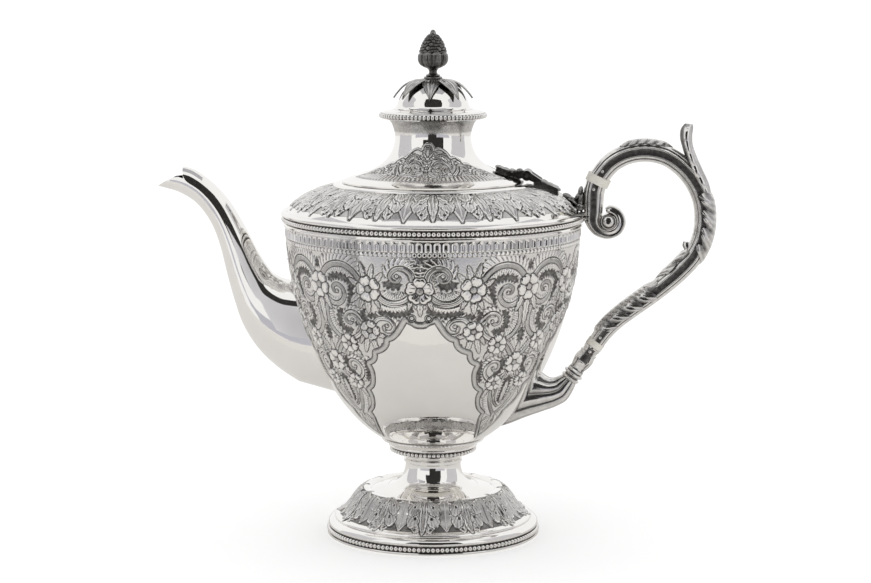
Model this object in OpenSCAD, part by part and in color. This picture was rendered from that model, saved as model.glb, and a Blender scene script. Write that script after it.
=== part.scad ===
// Silver coffee pot on a domed foot: vase body, swan-neck spout, hinged high-domed lid
// with a pine-cone finial, and a cast scroll handle held off the body by two insulators.
// Millimetres. +Z up, origin at the centre of the foot on the table.
// +X points to the handle, -X to the spout.

/* [Body] */
// Outer radius of the bowl below the rim
bowl_r = 77.8; // [77:0.1:78.4]
// Depth of the curve that the bowl follows down from the rim
bowl_depth = 119.6; // [119:0.1:120.5]
// Thickness of the raised silver walls
wall = 0.9; // [0.8:0.1:1.1]

/* [Lid] */
// Largest radius of the lid
lid_r = 48.4; // [48:0.1:48.6]
// Gap between the lid and the lip that it closes on
lid_gap = 0.3; // [0.3:0.05:0.5]

/* [Foot] */
// Radius of the base ring
foot_r = 57; // [56.5:0.5:59]
// Radius of the stem at its waist
stem_r = 14.8; // [14:0.1:15]

/* [Spout] */
// Thickness of the spout wall
spout_wall = 1; // [0.8:0.1:1.2]
// Diameter of each strainer hole
strainer_d = 3; // [2:0.2:3.4]

/* [Handle] */
// Half of the handle's depth at the top arch, measured in the plane of the handle
handle_half = 5.4; // [5:0.1:5.8]
// Half of the handle's width across that plane
handle_side = 4.9; // [4.5:0.1:5.2]
// Radius of the tenons that key the insulators into the silver
tenon_r = 2.8; // [2.4:0.1:3]
// Radius of the pins through the tenons
cross_pin_r = 0.95; // [0.8:0.05:1]

/* [Hinge] */
// Radius of the hinge pin
hinge_pin_r = 1; // [0.8:0.05:1.2]
// Radial running clearance of the pin in the lid's knuckle
hinge_clearance = 0.05; // [0.02:0.01:0.1]
// Length of each of the three knuckles
knuckle_len = 4.6; // [4:0.1:5]

/* [Beading] */
// Beads round the rim
rim_beads = 204; // [156:12:204]
// Beads round the foot
foot_beads = 144; // [96:12:144]
// Beads round the lid's flange
lid_beads = 72; // [48:12:72]
// Beads round the collar above the stem
collar_beads = 60; // [36:12:60]

/* [Hidden] */
$fn = 96;

silver = [0.80, 0.80, 0.79];
ivory = [0.93, 0.90, 0.82];
eps = 0.05;

// Heights of the body's seams
bowl_top_z = 170;
bowl_bottom_z = 52.5;
bowl_curve_z = 166;
shoulder_z = 187.9;
lip_z = 189.6;
mouth_r = 47;

// Radii and heights of the four beaded rings, and their bead radii
rim_bead = [79.4, 170.8, 1.18];
foot_bead = [56.2, 3.6, 1.2];
lid_bead = [27.7, 225.3, 1.12];
collar_bead = [22.4, 46.2, 1.02];

// Hinge axis, parallel to Y
hinge_x = 50;
hinge_z = 194;
knuckle_r = 2.7;
knuckle_play = 0.3;
hinge_half = 1.5 * knuckle_len + knuckle_play;

// Insulators: centre, direction of the handle's axis there, half thickness
upper_c = [87.3, 191.5];
upper_dir = [0.43, 0.903];
upper_t = 2.3;
lower_c = [86.6, 104.0];
lower_dir = [0.58, 0.815];
lower_t = 1.8;
tenon_len = 6;

// Section of the reeded castings: half outline, u along the casting's depth, v across it
reed_half = [[1, 0], [0.94, 0.42], [0.74, 0.64], [0.66, 0.60], [0.58, 0.73], [0.34, 0.83],
             [0.29, 0.79], [0.24, 0.92], [0, 1], [-0.24, 0.92], [-0.29, 0.79], [-0.42, 0.76],
             [-0.50, 0.64], [-0.60, 0.66], [-0.88, 0.42], [-1, 0]];
reed_section = concat(reed_half, [for (i = [len(reed_half) - 2:-1:1]) [reed_half[i][0], -reed_half[i][1]]]);

// ---------- curves and lofts ----------

function unit(v) = v / norm(v);
function ellipse_pts(k) = [for (i = [0:k - 1]) [cos(360 * i / k), sin(360 * i / k)]];
function catmull(a, b, c, d, t) =
    0.5 * (2 * b + (c - a) * t + (2 * a - 5 * b + 4 * c - d) * t * t
           + (3 * b - a - 3 * c + d) * t * t * t);
function smooth(p, n) =
    [for (i = [0:len(p) - 2]) for (k = [0:n - 1])
        catmull(p[max(i - 1, 0)], p[i], p[i + 1], p[min(i + 2, len(p) - 1)], k / n),
     p[len(p) - 1]];
function flatten(list) = [for (a = list) each a];

// Outline of a wall of thickness t to the left of profile p, kept right of the axis
function wall_normal(p, i) =
    let (d = unit(p[min(i + 1, len(p) - 1)] - p[max(i - 1, 0)])) [-d[1], d[0]];
function wall_outline(p, t) =
    concat(p, [for (i = [len(p) - 1:-1:0]) let (q = p[i] + t * wall_normal(p, i)) [max(q[0], 0), q[1]]]);

module spun(profile) {
    rotate_extrude() polygon(profile);
}

// A station is [ux, uz, lx, lz, w]: upper and lower edge points in the XZ plane, half width
function station_ring(s, section) =
    let (c = [s[0] + s[2], s[1] + s[3]] / 2, h = [s[0] - s[2], s[1] - s[3]] / 2)
    [for (q = section) [c[0] + h[0] * q[0], s[4] * q[1], c[1] + h[1] * q[0]]];
function station_inset(s, t) =
    let (d = unit([s[0] - s[2], s[1] - s[3]]))
    [s[0] - t * d[0], s[1] - t * d[1], s[2] + t * d[0], s[3] + t * d[1], s[4] - t];

function loft_sides(rings, k, base, inward) =
    [for (i = [0:rings - 2]) for (j = [0:k - 1])
        let (a = base + i * k + j, b = base + i * k + (j + 1) % k)
        each inward ? [[a, b, a + k], [b, b + k, a + k]] : [[a, a + k, b], [b, a + k, b + k]]];

module loft(rings) {
    k = len(rings[0]);
    last = (len(rings) - 1) * k;
    polyhedron(flatten(rings), concat(loft_sides(len(rings), k, 0, false),
        [[for (j = [0:k - 1]) j]], [[for (j = [k - 1:-1:0]) last + j]]));
}

// Tube between outer and inner rings, open at both ends
module loft_tube(outer, inner) {
    k = len(outer[0]);
    n = len(outer);
    b = n * k;
    e = (n - 1) * k;
    caps = [for (j = [0:k - 1]) let (m = (j + 1) % k)
        each [[j, m, b + j], [m, b + m, b + j], [e + j, b + e + j, e + m], [e + m, b + e + j, b + e + m]]];
    polyhedron(concat(flatten(outer), flatten(inner)),
        concat(loft_sides(n, k, 0, false), loft_sides(n, k, b, true), caps));
}

// Turns the plane of a 2D outline so that x stays X and y becomes Z, thickness along Y
module upright(width) {
    translate([0, width / 2, 0]) rotate([90, 0, 0]) linear_extrude(width) children();
}

// Puts the children's +Z along direction d of the XZ plane, at point c
module aim(c, d) {
    translate([c[0], 0, c[1]]) rotate([0, atan2(d[0], d[1]), 0]) children();
}

// Radius of the seat that a ring of beads bears on
function bead_seat(ring) = ring[0] - ring[2] + 0.02;

// Beads in runs of twelve
module bead_ring(ring, count) {
    run = 12;
    color(silver) for (k = [0:count / run - 1]) rotate(360 * k * run / count)
        for (i = [0:run - 1]) rotate(360 * i / count) translate([ring[0], 0, ring[1]]) sphere(ring[2], $fn = 16);
}

// ---------- body ----------

// Radius of the bowl at height z
function bowl_radius(z) =
    bowl_r * pow(1 - pow(max(bowl_curve_z - z, 0) / bowl_depth, 1.66), 1 / 2.3);

bowl_outer = concat([[0, 47.6], [8, 47.7], [15, 48.6], [20.5, 50.2]],
    [for (z = [bowl_bottom_z, 54.5, 57, 60, 64, 68.5, 73.5, 79, 85, 91.5, 98.5, 106, 114, 122.5, 131.5,
               141, 151]) [bowl_radius(z), z]],
    [[bowl_r, 162], [bowl_r, bowl_top_z]]);

// Strainer: staggered rows of holes inside the spout's root
strainer_z = 106;
strainer_pitch = 6;

module bowl() {
    color(silver) difference() {
        spun(wall_outline(bowl_outer, wall));
        for (row = [-3:3], col = [-1:1])
            translate([-90, (col + (abs(row) % 2) / 2 - 0.25) * strainer_pitch, strainer_z + row * strainer_pitch])
                rotate([0, 90, 0]) cylinder(h = 50, d = strainer_d, $fn = 24);
    }
}

shoulder_outer = [[77.5, bowl_top_z], [77.5, 173.8], [76.2, 175.8], [73.6, 178.6], [70.2, 181.2],
                  [66.2, 183.5], [61.6, 185.4], [57, 186.8], [52.8, 187.7], [mouth_r, shoulder_z]];

module shoulder() {
    color(silver) spun(wall_outline(shoulder_outer, wall));
}

module shoulder_lip() {
    color(silver) spun([[mouth_r, shoulder_z], [52.8, 187.7], [53, 188.5], [52.4, 189.3], [51.4, lip_z],
                        [mouth_r + 0.6, lip_z], [mouth_r, 189.2]]);
}

// Radius of the upper moulding of the rim
rim_r = 80.8;

// Two polished mouldings with the seat of the beaded wire between them
module rim_moulding() {
    seat = bead_seat(rim_bead);
    color(silver) spun([[bowl_r + eps, 166.6], [78.8, 166.8], [79.4, 167.4], [79.4, 168.2], [78.8, 169],
                        [seat, 169.3], [seat, 172.2], [79.6, 172.4], [80.5, 172.9], [rim_r, 173.6],
                        [80.2, 174.5], [79.3, 175.1], [78.2, 175.1], [77.5 + eps, 174.4],
                        [77.5 + eps, bowl_top_z + 0.1], [bowl_r + eps, bowl_top_z]]);
}

module rim_beading() {
    bead_ring(rim_bead, rim_beads);
}

// ---------- spout ----------

// Edge stations from the body to the tip
spout_stations = [
    [-78.8, 136.8, -72.0, 81.4, 17.8],
    [-81.0, 137.4, -85.0, 90.2, 16.8],
    [-84.0, 138.8, -95.0, 100.2, 15.4],
    [-87.0, 141.0, -102.3, 112.0, 13.6],
    [-90.0, 145.0, -107.2, 126.0, 11.9],
    [-93.4, 150.4, -110.6, 138.6, 10.6],
    [-98.6, 160.4, -114.2, 153.6, 9.3],
    [-103.8, 170.0, -117.2, 162.6, 8.4],
    [-109.1, 178.4, -120.4, 169.0, 7.7],
    [-114.4, 184.7, -124.4, 174.6, 7.2],
    [-119.8, 189.7, -128.4, 178.6, 6.9],
    [-125.1, 193.6, -132.4, 181.2, 6.7],
    [-130.4, 196.2, -137.6, 183.7, 6.3],
    [-138.0, 197.0, -142.6, 185.1, 5.2],
    [-146.4, 191.6, -147.8, 186.4, 2.2]];
spout_root_z = [75.8, 136.4];
spout_root_w = 18.4;
spout_k = 22;

// Ring of the spout's root, lying on the bowl
function root_ring(inset) =
    let (zc = (spout_root_z[0] + spout_root_z[1]) / 2, zh = (spout_root_z[1] - spout_root_z[0]) / 2 - inset)
    [for (q = ellipse_pts(spout_k))
        let (y = (spout_root_w - inset) * q[1], z = zc + zh * q[0])
        [-sqrt(pow(bowl_radius(z) + eps, 2) - y * y), y, z]];

// Side view of what is cut away above the lower lip
mouth_cut = [[-133.9, 206], [-133.9, 196], [-133.0, 190.8], [-136, 191.8], [-139, 191.4], [-142.5, 189.8],
             [-149.5, 185.6], [-156, 190], [-156, 206]];

module spout() {
    stations = smooth(spout_stations, 2);
    outer = concat([root_ring(0)], [for (s = stations) station_ring(s, ellipse_pts(spout_k))]);
    inner = concat([root_ring(spout_wall)],
        [for (s = stations) station_ring(station_inset(s, spout_wall), ellipse_pts(spout_k))]);
    color(silver) difference() {
        loft_tube(outer, inner);
        upright(30) polygon(mouth_cut);
    }
}

// ---------- collar, stem and foot ----------

module collar() {
    seat = bead_seat(collar_bead);
    bore = stem_r + 0.6;
    color(silver) spun([[bore, 43.2], [18.6, 43.6], [20.8, 44.4], [seat, 45], [seat, 47.4], [23, 47.6], [23.8, 48.2],
                        [23.8, 49], [23.2, 49.6], [22.8, 50], [23.6, 50.3], [24.6, 50.7], [25.6, 51.2],
                        [26.05, 51.8], [25.9, 52.15], [20.6, 50.1], [17, 49.1], [bore, 48.5]]);
}

module collar_wire() {
    r = bowl_radius(bowl_bottom_z) + 0.4;
    color(silver) rotate_extrude() translate([r, bowl_bottom_z - 0.6]) circle(0.7, $fn = 24);
}

module collar_beading() {
    bead_ring(collar_bead, collar_beads);
}

stem_outer = [[24, 26.25], [21.4, 27.0], [19.4, 28], [17.6, 29.6], [16.2, 31.8], [15.3, 34.6], [stem_r, 38],
              [stem_r + 0.1, 39], [stem_r + 0.8, 39.4], [stem_r + 0.9, 40.8], [stem_r + 0.2, 41.4],
              [stem_r + 0.5, 42.6], [stem_r + 0.55, 43.4], [stem_r + 0.55, 47.5]];

module stem() {
    color(silver) spun(wall_outline(stem_outer, wall));
}

foot_outer = [[foot_r - 4.4, 9.4], [foot_r - 4.4, 10], [foot_r - 5, 10.6], [50, 11.4], [47.6, 13.2], [45.2, 16], [43.2, 19], [41.2, 22],
              [38.8, 24.2], [36.2, 25], [34, 24.6], [33.2, 23.9], [24, 26.2]];

module foot() {
    color(silver) spun(wall_outline(foot_outer, wall));
}

// Stepped and rounded base with a seat for the beading and a flat underside
module foot_rim() {
    seat = bead_seat(foot_bead);
    color(silver) spun([[foot_r - 4.4 - wall, 9.35], [foot_r - 4.4, 9.35], [foot_r - 3.4, 9.2], [foot_r - 2, 8.6],
                        [foot_r - 0.9, 7.6], [foot_r - 0.5, 6.4], [foot_r - 0.7, 5.6], [seat, 5.2], [seat, 2.2],
                        [foot_r - 0.1, 2], [foot_r, 1.6], [foot_r, 0.3], [foot_r - 0.3, 0], [foot_r - 3.2, 0],
                        [foot_r - 3.2, 5], [foot_r - 4, 7.6]]);
}

module foot_beading() {
    bead_ring(foot_bead, foot_beads);
}

// ---------- lid ----------

skirt_outer = [[lid_r, lip_z + lid_gap + 0.85], [46, 191.7], [43.2, 192.6], [39.6, 193.6], [35.6, 195],
               [31.6, 196.9], [28, 199.1], [25, 201.7], [22.9, 204.4], [21.3, 207.8], [20.4, 211.5], [20.3, 215.5],
               [21.1, 219], [22.3, 221.6], [23.4, 222.8]];

module lid_skirt() {
    color(silver) spun(wall_outline(skirt_outer, wall));
}

// Ring under the lid that drops into the mouth of the body
module lid_bezel() {
    color(silver) spun([[45.1, 185.4], [46, 185.4], [46, 190.7], [45.1, 191.05]]);
}

module lid_flange() {
    seat = bead_seat(lid_bead);
    color(silver) spun([[22.6, 223.61], [23.43, 222.85], [24, 222.9], [25.4, 223.1], [26.6, 223.5], [seat, 224], [seat, 226.5],
                        [26, 227.2], [23.6, 227.9], [20.4, 228.6], [19.4, 228.6]]);
}

module lid_beading() {
    bead_ring(lid_bead, lid_beads);
}

dome_outer = [[20.2, 228.65], [20.2, 230], [19.7, 232.2], [18.6, 234.6], [16.8, 237], [14.2, 239.4], [11, 241.3],
              [7, 242.5], [3, 242.95], [0, 243]];
stud_r = 1.6;

module lid_dome() {
    color(silver) difference() {
        spun(wall_outline(dome_outer, wall));
        translate([0, 0, 238]) cylinder(h = 8, r = stud_r, $fn = 24);
    }
}

// Eight pointed leaves in one casting, draped over the dome
calyx_leaves = 8;
calyx_arc = [[2.5, 243.95], [6, 243.75], [9.5, 243.1], [13, 241.9], [16.2, 239.8], [18.8, 237.2], [20.4, 234.6],
             [21.2, 233.2]];
calyx_t = 0.8;

// Reach of the leaf edge at angle a from a leaf's middle, as a share of the arc
function leaf_reach(a) = 0.36 + 0.64 * pow(max(1 - abs(a) / (180 / calyx_leaves), 0), 1.25);
function along(p, t) =
    let (s = t * (len(p) - 1), i = min(floor(s), len(p) - 2)) p[i] + (p[i + 1] - p[i]) * (s - i);
function calyx_ring(share, drop) =
    [for (k = [0:calyx_leaves * 6 - 1])
        let (a = 360 * k / (calyx_leaves * 6), pitch = 360 / calyx_leaves,
             off = a - pitch * round(a / pitch), p = along(calyx_arc, share * leaf_reach(off)))
        [(p[0] - drop / 2) * cos(-a), (p[0] - drop / 2) * sin(-a), p[1] - drop]];

module calyx() {
    shares = [0, 0.25, 0.5, 0.75, 1];
    color(silver) difference() {
        union() {
            loft_tube([for (s = shares) calyx_ring(s, 0)], [for (s = shares) calyx_ring(s, calyx_t)]);
            translate([0, 0, 243.05]) cylinder(h = 1.1, r = 4.8);
        }
        translate([0, 0, 238]) cylinder(h = 8, r = stud_r, $fn = 24);
    }
}

finial_base_z = 244.15;
finial_stem = [[0, finial_base_z], [4.6, finial_base_z], [4.8, 244.9], [4.2, 245.7], [2.9, 246.2], [2.1, 247.4],
               [2, 248.6], [2.6, 249.6], [4, 250.4], [6.2, 251.8], [7.3, 253.2], [7.8, 255.2], [7.6, 256.8],
               [6.9, 258], [5.6, 257.6], [0, 257.6]];
cone_profile = [[6.3, 257.4], [6.4, 259], [6.2, 260.6], [5.7, 262.3], [4.9, 264], [3.8, 265.7], [2.6, 267], [1.6, 267.8]];
cone_scales = 9;
cone_rows = 7;

// Pine cone: scales as diagonal bumps on a tapering body
function cone_ring(t) =
    let (p = along(cone_profile, t))
    [for (k = [0:cone_scales * 4 - 1])
        let (a = 360 * k / (cone_scales * 4), row = 180 * cone_rows * t,
             bump = abs(cos(cone_scales * a / 2 + row / 2) * cos(cone_scales * a / 2 - row / 2)))
        [(p[0] - 0.5 + 0.6 * bump) * cos(a), (p[0] - 0.5 + 0.6 * bump) * sin(a), p[1]]];

module finial() {
    color(silver) union() {
        translate([0, 0, 238.6]) cylinder(h = 6, r = stud_r, $fn = 24);
        spun(finial_stem);
        loft([for (i = [0:12]) cone_ring(i / 12)]);
        translate([0, 0, 268.1]) sphere(1.9, $fn = 24);
    }
}

module finial_nut() {
    color(silver) difference() {
        translate([0, 0, 239.4]) cylinder(h = 2.2, r = 3.2, $fn = 6);
        translate([0, 0, 238]) cylinder(h = 5, r = stud_r, $fn = 24);
    }
}

// ---------- lid hinge ----------

module knuckle(y0, y1, bore) {
    translate([hinge_x, y1, hinge_z]) rotate([90, 0, 0]) difference() {
        cylinder(h = y1 - y0, r = knuckle_r, $fn = 48);
        translate([0, 0, -1]) cylinder(h = y1 - y0 + 2, r = bore, $fn = 48);
    }
}

module hinge_bore(r) {
    translate([hinge_x, 20, hinge_z]) rotate([90, 0, 0]) cylinder(h = 40, r = r, $fn = 48);
}

// Lid side: a leaf on the skirt, a stepped block and the middle knuckle
module lid_hinge() {
    half = knuckle_len / 2;
    color(silver) union() {
        knuckle(-half, half, hinge_pin_r + hinge_clearance);
        difference() {
            union() {
                upright(knuckle_len) polygon([[40.6, 193.5], [40.6, 195.4], [45, 195.8], [49, 196.4], [49, 192.6],
                                              [46, 191.85]]);
                upright(11) polygon([[33.4, 196.3], [34.2, 198.6], [37.4, 197.6], [41.4, 195.6], [41.4, 193.2],
                                     [39.6, 193.75], [35.6, 195.15]]);
            }
            hinge_bore(hinge_pin_r + 0.6);
        }
    }
}

// Body side: two knuckles on a block with a leaf tail along the shoulder
module body_hinge() {
    half = knuckle_len / 2 + knuckle_play;
    color(silver) union() {
        for (side = [-1, 1]) {
            knuckle(side > 0 ? half : -hinge_half, side > 0 ? hinge_half : -half, hinge_pin_r);
            difference() {
                translate([0, side * (half + hinge_half) / 2, 0])
                    upright(knuckle_len) polygon([[50.6, 191.8], [52.2, 195.4], [57.6, 191.8], [57.6, 188.4],
                                                  [54.2, 188.4], [53.6, 190.6]]);
                hinge_bore(hinge_pin_r + 0.6);
            }
        }
        upright(2 * hinge_half) polygon([[53.4, 188.4], [54.2, 190.8], [57.6, 191], [61, 189.6], [66.4, 187.4],
                                         [66.6, 183.8], [61.6, 185.8], [57, 187.2], [53.6, 187.9]]);
    }
}

module hinge_pin() {
    color(silver) translate([hinge_x, hinge_half + 0.4, hinge_z]) rotate([90, 0, 0])
        cylinder(h = 2 * hinge_half + 0.8, r = hinge_pin_r, $fn = 48);
}

// ---------- handle ----------

// Centre line from the lower end to the upper end: x, z, half depth, half width
handle_line = [
    [lower_c[0] + lower_t * lower_dir[0], lower_c[1] + lower_t * lower_dir[1], 4.5, 4.0],
    [91.0, 110.2, 4.7, 4.1],
    [96.8, 116.4, 4.9, 4.3],
    [104.4, 122.6, 5.1, 4.5],
    [113.6, 129.4, 5.2, 4.7],
    [122.4, 136.4, 5.3, 4.8],
    [130.6, 143.8, handle_half, handle_side],
    [137.4, 151.6, handle_half, handle_side],
    [141.8, 160.6, handle_half, handle_side],
    [143.4, 170.6, handle_half, handle_side],
    [142.4, 180.6, handle_half, handle_side],
    [138.4, 190.2, handle_half, handle_side],
    [131.6, 198.6, handle_half, handle_side],
    [122.6, 204.6, handle_half, handle_side],
    [112.0, 206.6, handle_half, handle_side],
    [101.6, 204.8, handle_half, handle_side],
    [94.0, 200.4, handle_half, handle_side],
    [upper_c[0] + upper_t * upper_dir[0], upper_c[1] + upper_t * upper_dir[1], handle_half, handle_side]];

// Outward normal of the centre line; the ends stand square to the insulators
function line_dir(p, i) =
    i == 0 ? lower_dir : i == len(p) - 1 ? -upper_dir :
    unit([p[i + 1][0] - p[i - 1][0], p[i + 1][1] - p[i - 1][1]]);
function line_station(p, i, lift, half, width) =
    let (d = line_dir(p, i), n = [d[1], -d[0]], c = [p[i][0], p[i][1]] + lift * n)
    [c[0] + half * n[0], c[1] + half * n[1], c[0] - half * n[0], c[1] - half * n[1], width];
handle_smooth = smooth(handle_line, 2);
handle_stations = [for (i = [0:len(handle_smooth) - 1])
    line_station(handle_smooth, i, 0, handle_smooth[i][2], handle_smooth[i][3])];

// A cast leaf lying along the handle from station a to station b, standing proud by rise
module handle_leaf(a, b, side, rise, width) {
    n = b - a;
    loft([for (i = [a:b]) let (t = (i - a) / n, swell = sqrt(max(sin(180 * t), 0.02)), p = handle_smooth[i])
        station_ring(line_station(handle_smooth, i, side * (p[2] - 1.8 + (rise - 0.2) * swell / 2),
                                  1.6 + rise * swell / 2, width * (0.35 + 0.65 * swell)), ellipse_pts(12))]);
}

// Leaf that the thumb rests on: a cupped tongue rising off the back of the arch
thumb_stations = [
    [147.6, 184.0, 145.2, 183.0, 3.2],
    [144.8, 191.2, 141.2, 189.4, 4.0],
    [141.0, 199.0, 136.6, 196.4, 4.6],
    [138.0, 205.6, 133.2, 203.4, 4.9],
    [136.4, 211.6, 130.6, 210.6, 4.9],
    [135.6, 216.2, 129.4, 216.4, 4.4],
    [135.2, 219.2, 130.6, 219.8, 3.2],
    [134.4, 221.2, 132.6, 221.4, 1.2]];

module tenon_bore(c, d) {
    aim(c, d) translate([0, 0, -tenon_len]) cylinder(h = 2 * tenon_len, r = tenon_r, $fn = 48);
}

module cross_pin(p, half) {
    translate([p[0], half, p[1]]) rotate([90, 0, 0]) cylinder(h = 2 * half, r = cross_pin_r, $fn = 32);
}

upper_pin_a = upper_c + 5.2 * upper_dir;
upper_pin_b = upper_c - 5.2 * upper_dir;
lower_pin_a = lower_c + 4.6 * lower_dir;
lower_pin_b = lower_c - 4.6 * lower_dir;

module handle() {
    color(silver) difference() {
        union() {
            loft([for (s = handle_stations) station_ring(s, reed_section)]);
            loft([for (s = smooth(thumb_stations, 2)) station_ring(s, ellipse_pts(12))]);
            handle_leaf(25, 31, 1, 2.6, 3.0);
            handle_leaf(13, 21, 1, 3.2, 4.6);
            handle_leaf(2, 9, -1, 1.6, 4.2);
            handle_leaf(10, 15, -1, 2.2, 3.0);
        }
        tenon_bore(upper_c, upper_dir);
        tenon_bore(lower_c, lower_dir);
        cross_pin(upper_pin_a, 8);
        cross_pin(lower_pin_a, 8);
    }
}

module insulator(c, d, t, half_depth, half_width, pin_a, pin_b) {
    color(ivory) difference() {
        union() {
            aim(c, d) translate([0, 0, -t]) linear_extrude(2 * t)
                polygon([for (q = ellipse_pts(36)) [half_depth * q[0], half_width * q[1]]]);
            aim(c, d) translate([0, 0, -tenon_len]) cylinder(h = 2 * tenon_len, r = tenon_r, $fn = 48);
        }
        cross_pin(pin_a, 8);
        cross_pin(pin_b, 8);
    }
}

module upper_insulator() {
    insulator(upper_c, upper_dir, upper_t, 6.4, 5.9, upper_pin_a, upper_pin_b);
}

module lower_insulator() {
    insulator(lower_c, lower_dir, lower_t, 4.8, 4.4, lower_pin_a, lower_pin_b);
}

module upper_pins() {
    color(silver) {
        cross_pin(upper_pin_a, handle_side + 0.1);
        cross_pin(upper_pin_b, handle_side + 0.1);
    }
}

module lower_pins() {
    color(silver) {
        cross_pin(lower_pin_a, 4.2);
        cross_pin(lower_pin_b, 4.5);
    }
}

// Upper socket: a reeded stalk that rolls into a volute round an eye
eye = [93, 169.8];
eye_r = 3.5;
function spiral_station(a, outer, inner, w) =
    [eye[0] + outer * cos(a), eye[1] + outer * sin(a), eye[0] + inner * cos(a), eye[1] + inner * sin(a), w];
volute_stations = [
    [81.2, 191.8, 91.4, 187.0, 4.9],
    [79.9, 186.0, 90.7, 184.4, 4.9],
    [79.8, 180.5, 90.3, 180.0, 4.9],
    [80.0, 175.2, 90.0, 175.0, 4.8],
    spiral_station(180, 12.8, 2.9, 4.7),
    spiral_station(225, 10.5, 2.9, 4.6),
    spiral_station(270, 9.5, 2.9, 4.5),
    spiral_station(315, 9.4, 2.9, 4.4),
    spiral_station(360, 9.2, 3.0, 4.3),
    spiral_station(405, 8.9, 3.1, 4.2),
    spiral_station(450, 8.3, 3.3, 3.6),
    spiral_station(464, 7.4, 3.9, 2.6)];

module upper_socket() {
    color(silver) difference() {
        union() {
            loft([for (s = smooth(volute_stations, 2)) station_ring(s, reed_section)]);
            translate([eye[0], 5, eye[1]]) rotate([90, 0, 0]) cylinder(h = 10, r = eye_r);
        }
        tenon_bore(upper_c, upper_dir);
        cross_pin(upper_pin_b, 8);
        translate([0, 0, bowl_top_z - 10]) cylinder(h = 15.2, r = rim_r + eps);
    }
}

// Cast leaf between the socket and the rim
module upper_bracket() {
    color(silver) difference() {
        upright(8.4) polygon([[68.6, 183.0], [70.6, 184.6], [73.4, 181.8], [75.6, 180.2], [77, 182.6], [77.4, 186.2],
                              [78.6, 187.2], [79.7, 184.8], [79.7, 175.2], [77.6, 175.2], [76.4, 175.9],
                              [73.6, 178.8], [70.2, 181.5]]);
        spun([[0, 160], [77.6, 160], [77.6, 174.2], [76.3, 175.9], [73.7, 178.7], [70.3, 181.3], [66.2, 183.6],
              [0, 190]]);
    }
}

// ---------- lower joint of the handle ----------

module lower_socket() {
    color(silver) difference() {
        aim(lower_c, lower_dir) union() {
            translate([0, 0, -18.4])
                spun([[0, 0], [4.3, 0], [4.5, 0.8], [4.2, 1.6], [4.4, 4], [5.1, 6.5], [5.4, 8.2], [5.2, 9.8],
                      [4.6, 11.6], [4.3, 14], [4.3, 16.6], [0, 16.6]]);
            for (a = [45:90:315]) rotate(a) translate([4.3, 0, -10.2]) sphere(1.7, $fn = 24);
        }
        tenon_bore(lower_c, lower_dir);
        cross_pin(lower_pin_b, 8);
    }
}

knop_len = 5.2;
knop_c = lower_c - 18.4 * lower_dir;

module lower_knop() {
    color(silver) aim(knop_c, lower_dir) translate([0, 0, -knop_len])
        spun([[0, 0], [4.2, 0], [4.9, 0.5], [5.1, 1.2], [4.5, 1.9], [4.2, 2.3], [4.7, 2.9], [5.3, 3.6], [5.2, 4.3],
              [4.5, 4.9], [4.0, knop_len], [0, knop_len]]);
}

// Horn from the knop that spreads along the bowl
mount_top = knop_c - knop_len * lower_dir;
mount_stations = [
    [mount_top[0] - 4.4 * lower_dir[1], mount_top[1] + 4.4 * lower_dir[0],
     mount_top[0] + 4.4 * lower_dir[1], mount_top[1] - 4.4 * lower_dir[0], 4.4],
    [66.2, 86.0, 74.4, 77.4, 5.0],
    [65.0, 85.6, 71.6, 73.2, 5.8],
    [63.2, 85.6, 66.4, 70.0, 6.8],
    [61.0, 86.6, 58.6, 67.0, 7.8],
    [58.0, 88.8, 49.0, 63.4, 8.5],
    [54.0, 90.4, 40.0, 59.6, 8.9],
    [49.0, 91.0, 34.0, 58.0, 9.0]];

module lower_mount() {
    color(silver) difference() {
        loft([for (s = smooth(mount_stations, 2)) station_ring(s, ellipse_pts(20))]);
        spun(concat([for (p = bowl_outer) [p[0] > 0 ? p[0] + eps : 0, p[1]]], [[0, bowl_top_z]]));
    }
}

// ---------- assembly ----------

bowl();
shoulder();
shoulder_lip();
rim_moulding();
rim_beading();
spout();
collar();
collar_wire();
collar_beading();
stem();
foot();
foot_rim();
foot_beading();
body_hinge();
hinge_pin();
upper_bracket();
upper_socket();
upper_insulator();
upper_pins();
handle();
lower_insulator();
lower_pins();
lower_socket();
lower_knop();
lower_mount();
lid_skirt();
lid_bezel();
lid_flange();
lid_beading();
lid_dome();
calyx();
finial();
finial_nut();
lid_hinge();
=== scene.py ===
"""Silver coffee pot: chased vase body, swan-neck spout, hinged lid with a pine-cone finial, reeded handle.

Lengths are millimetres until a mesh is written. +X points to the handle and -Y is the photographed side.
Angles round the pot are degrees from the photographed front towards the handle.
"""
import math

import bmesh
import bpy
import numpy as np
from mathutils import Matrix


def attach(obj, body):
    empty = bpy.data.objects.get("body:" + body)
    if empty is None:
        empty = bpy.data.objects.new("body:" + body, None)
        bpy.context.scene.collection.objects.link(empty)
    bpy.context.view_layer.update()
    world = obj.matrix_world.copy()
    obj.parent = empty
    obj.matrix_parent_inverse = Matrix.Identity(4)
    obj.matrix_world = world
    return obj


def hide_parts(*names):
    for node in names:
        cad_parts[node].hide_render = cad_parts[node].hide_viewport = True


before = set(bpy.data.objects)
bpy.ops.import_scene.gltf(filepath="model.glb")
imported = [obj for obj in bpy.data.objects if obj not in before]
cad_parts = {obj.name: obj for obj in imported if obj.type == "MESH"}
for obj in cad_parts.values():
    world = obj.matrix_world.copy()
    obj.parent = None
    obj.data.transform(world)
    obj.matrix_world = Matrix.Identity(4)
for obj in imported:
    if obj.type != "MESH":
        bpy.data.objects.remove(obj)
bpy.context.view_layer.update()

MM = 0.001
WALL = 0.9                  # raised and spun silver
SKIN = 0.06                 # from the bowl's wall to the inside of its relief
BURNISHED = -1              # a canvas's oxide where the ground is polished

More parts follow.
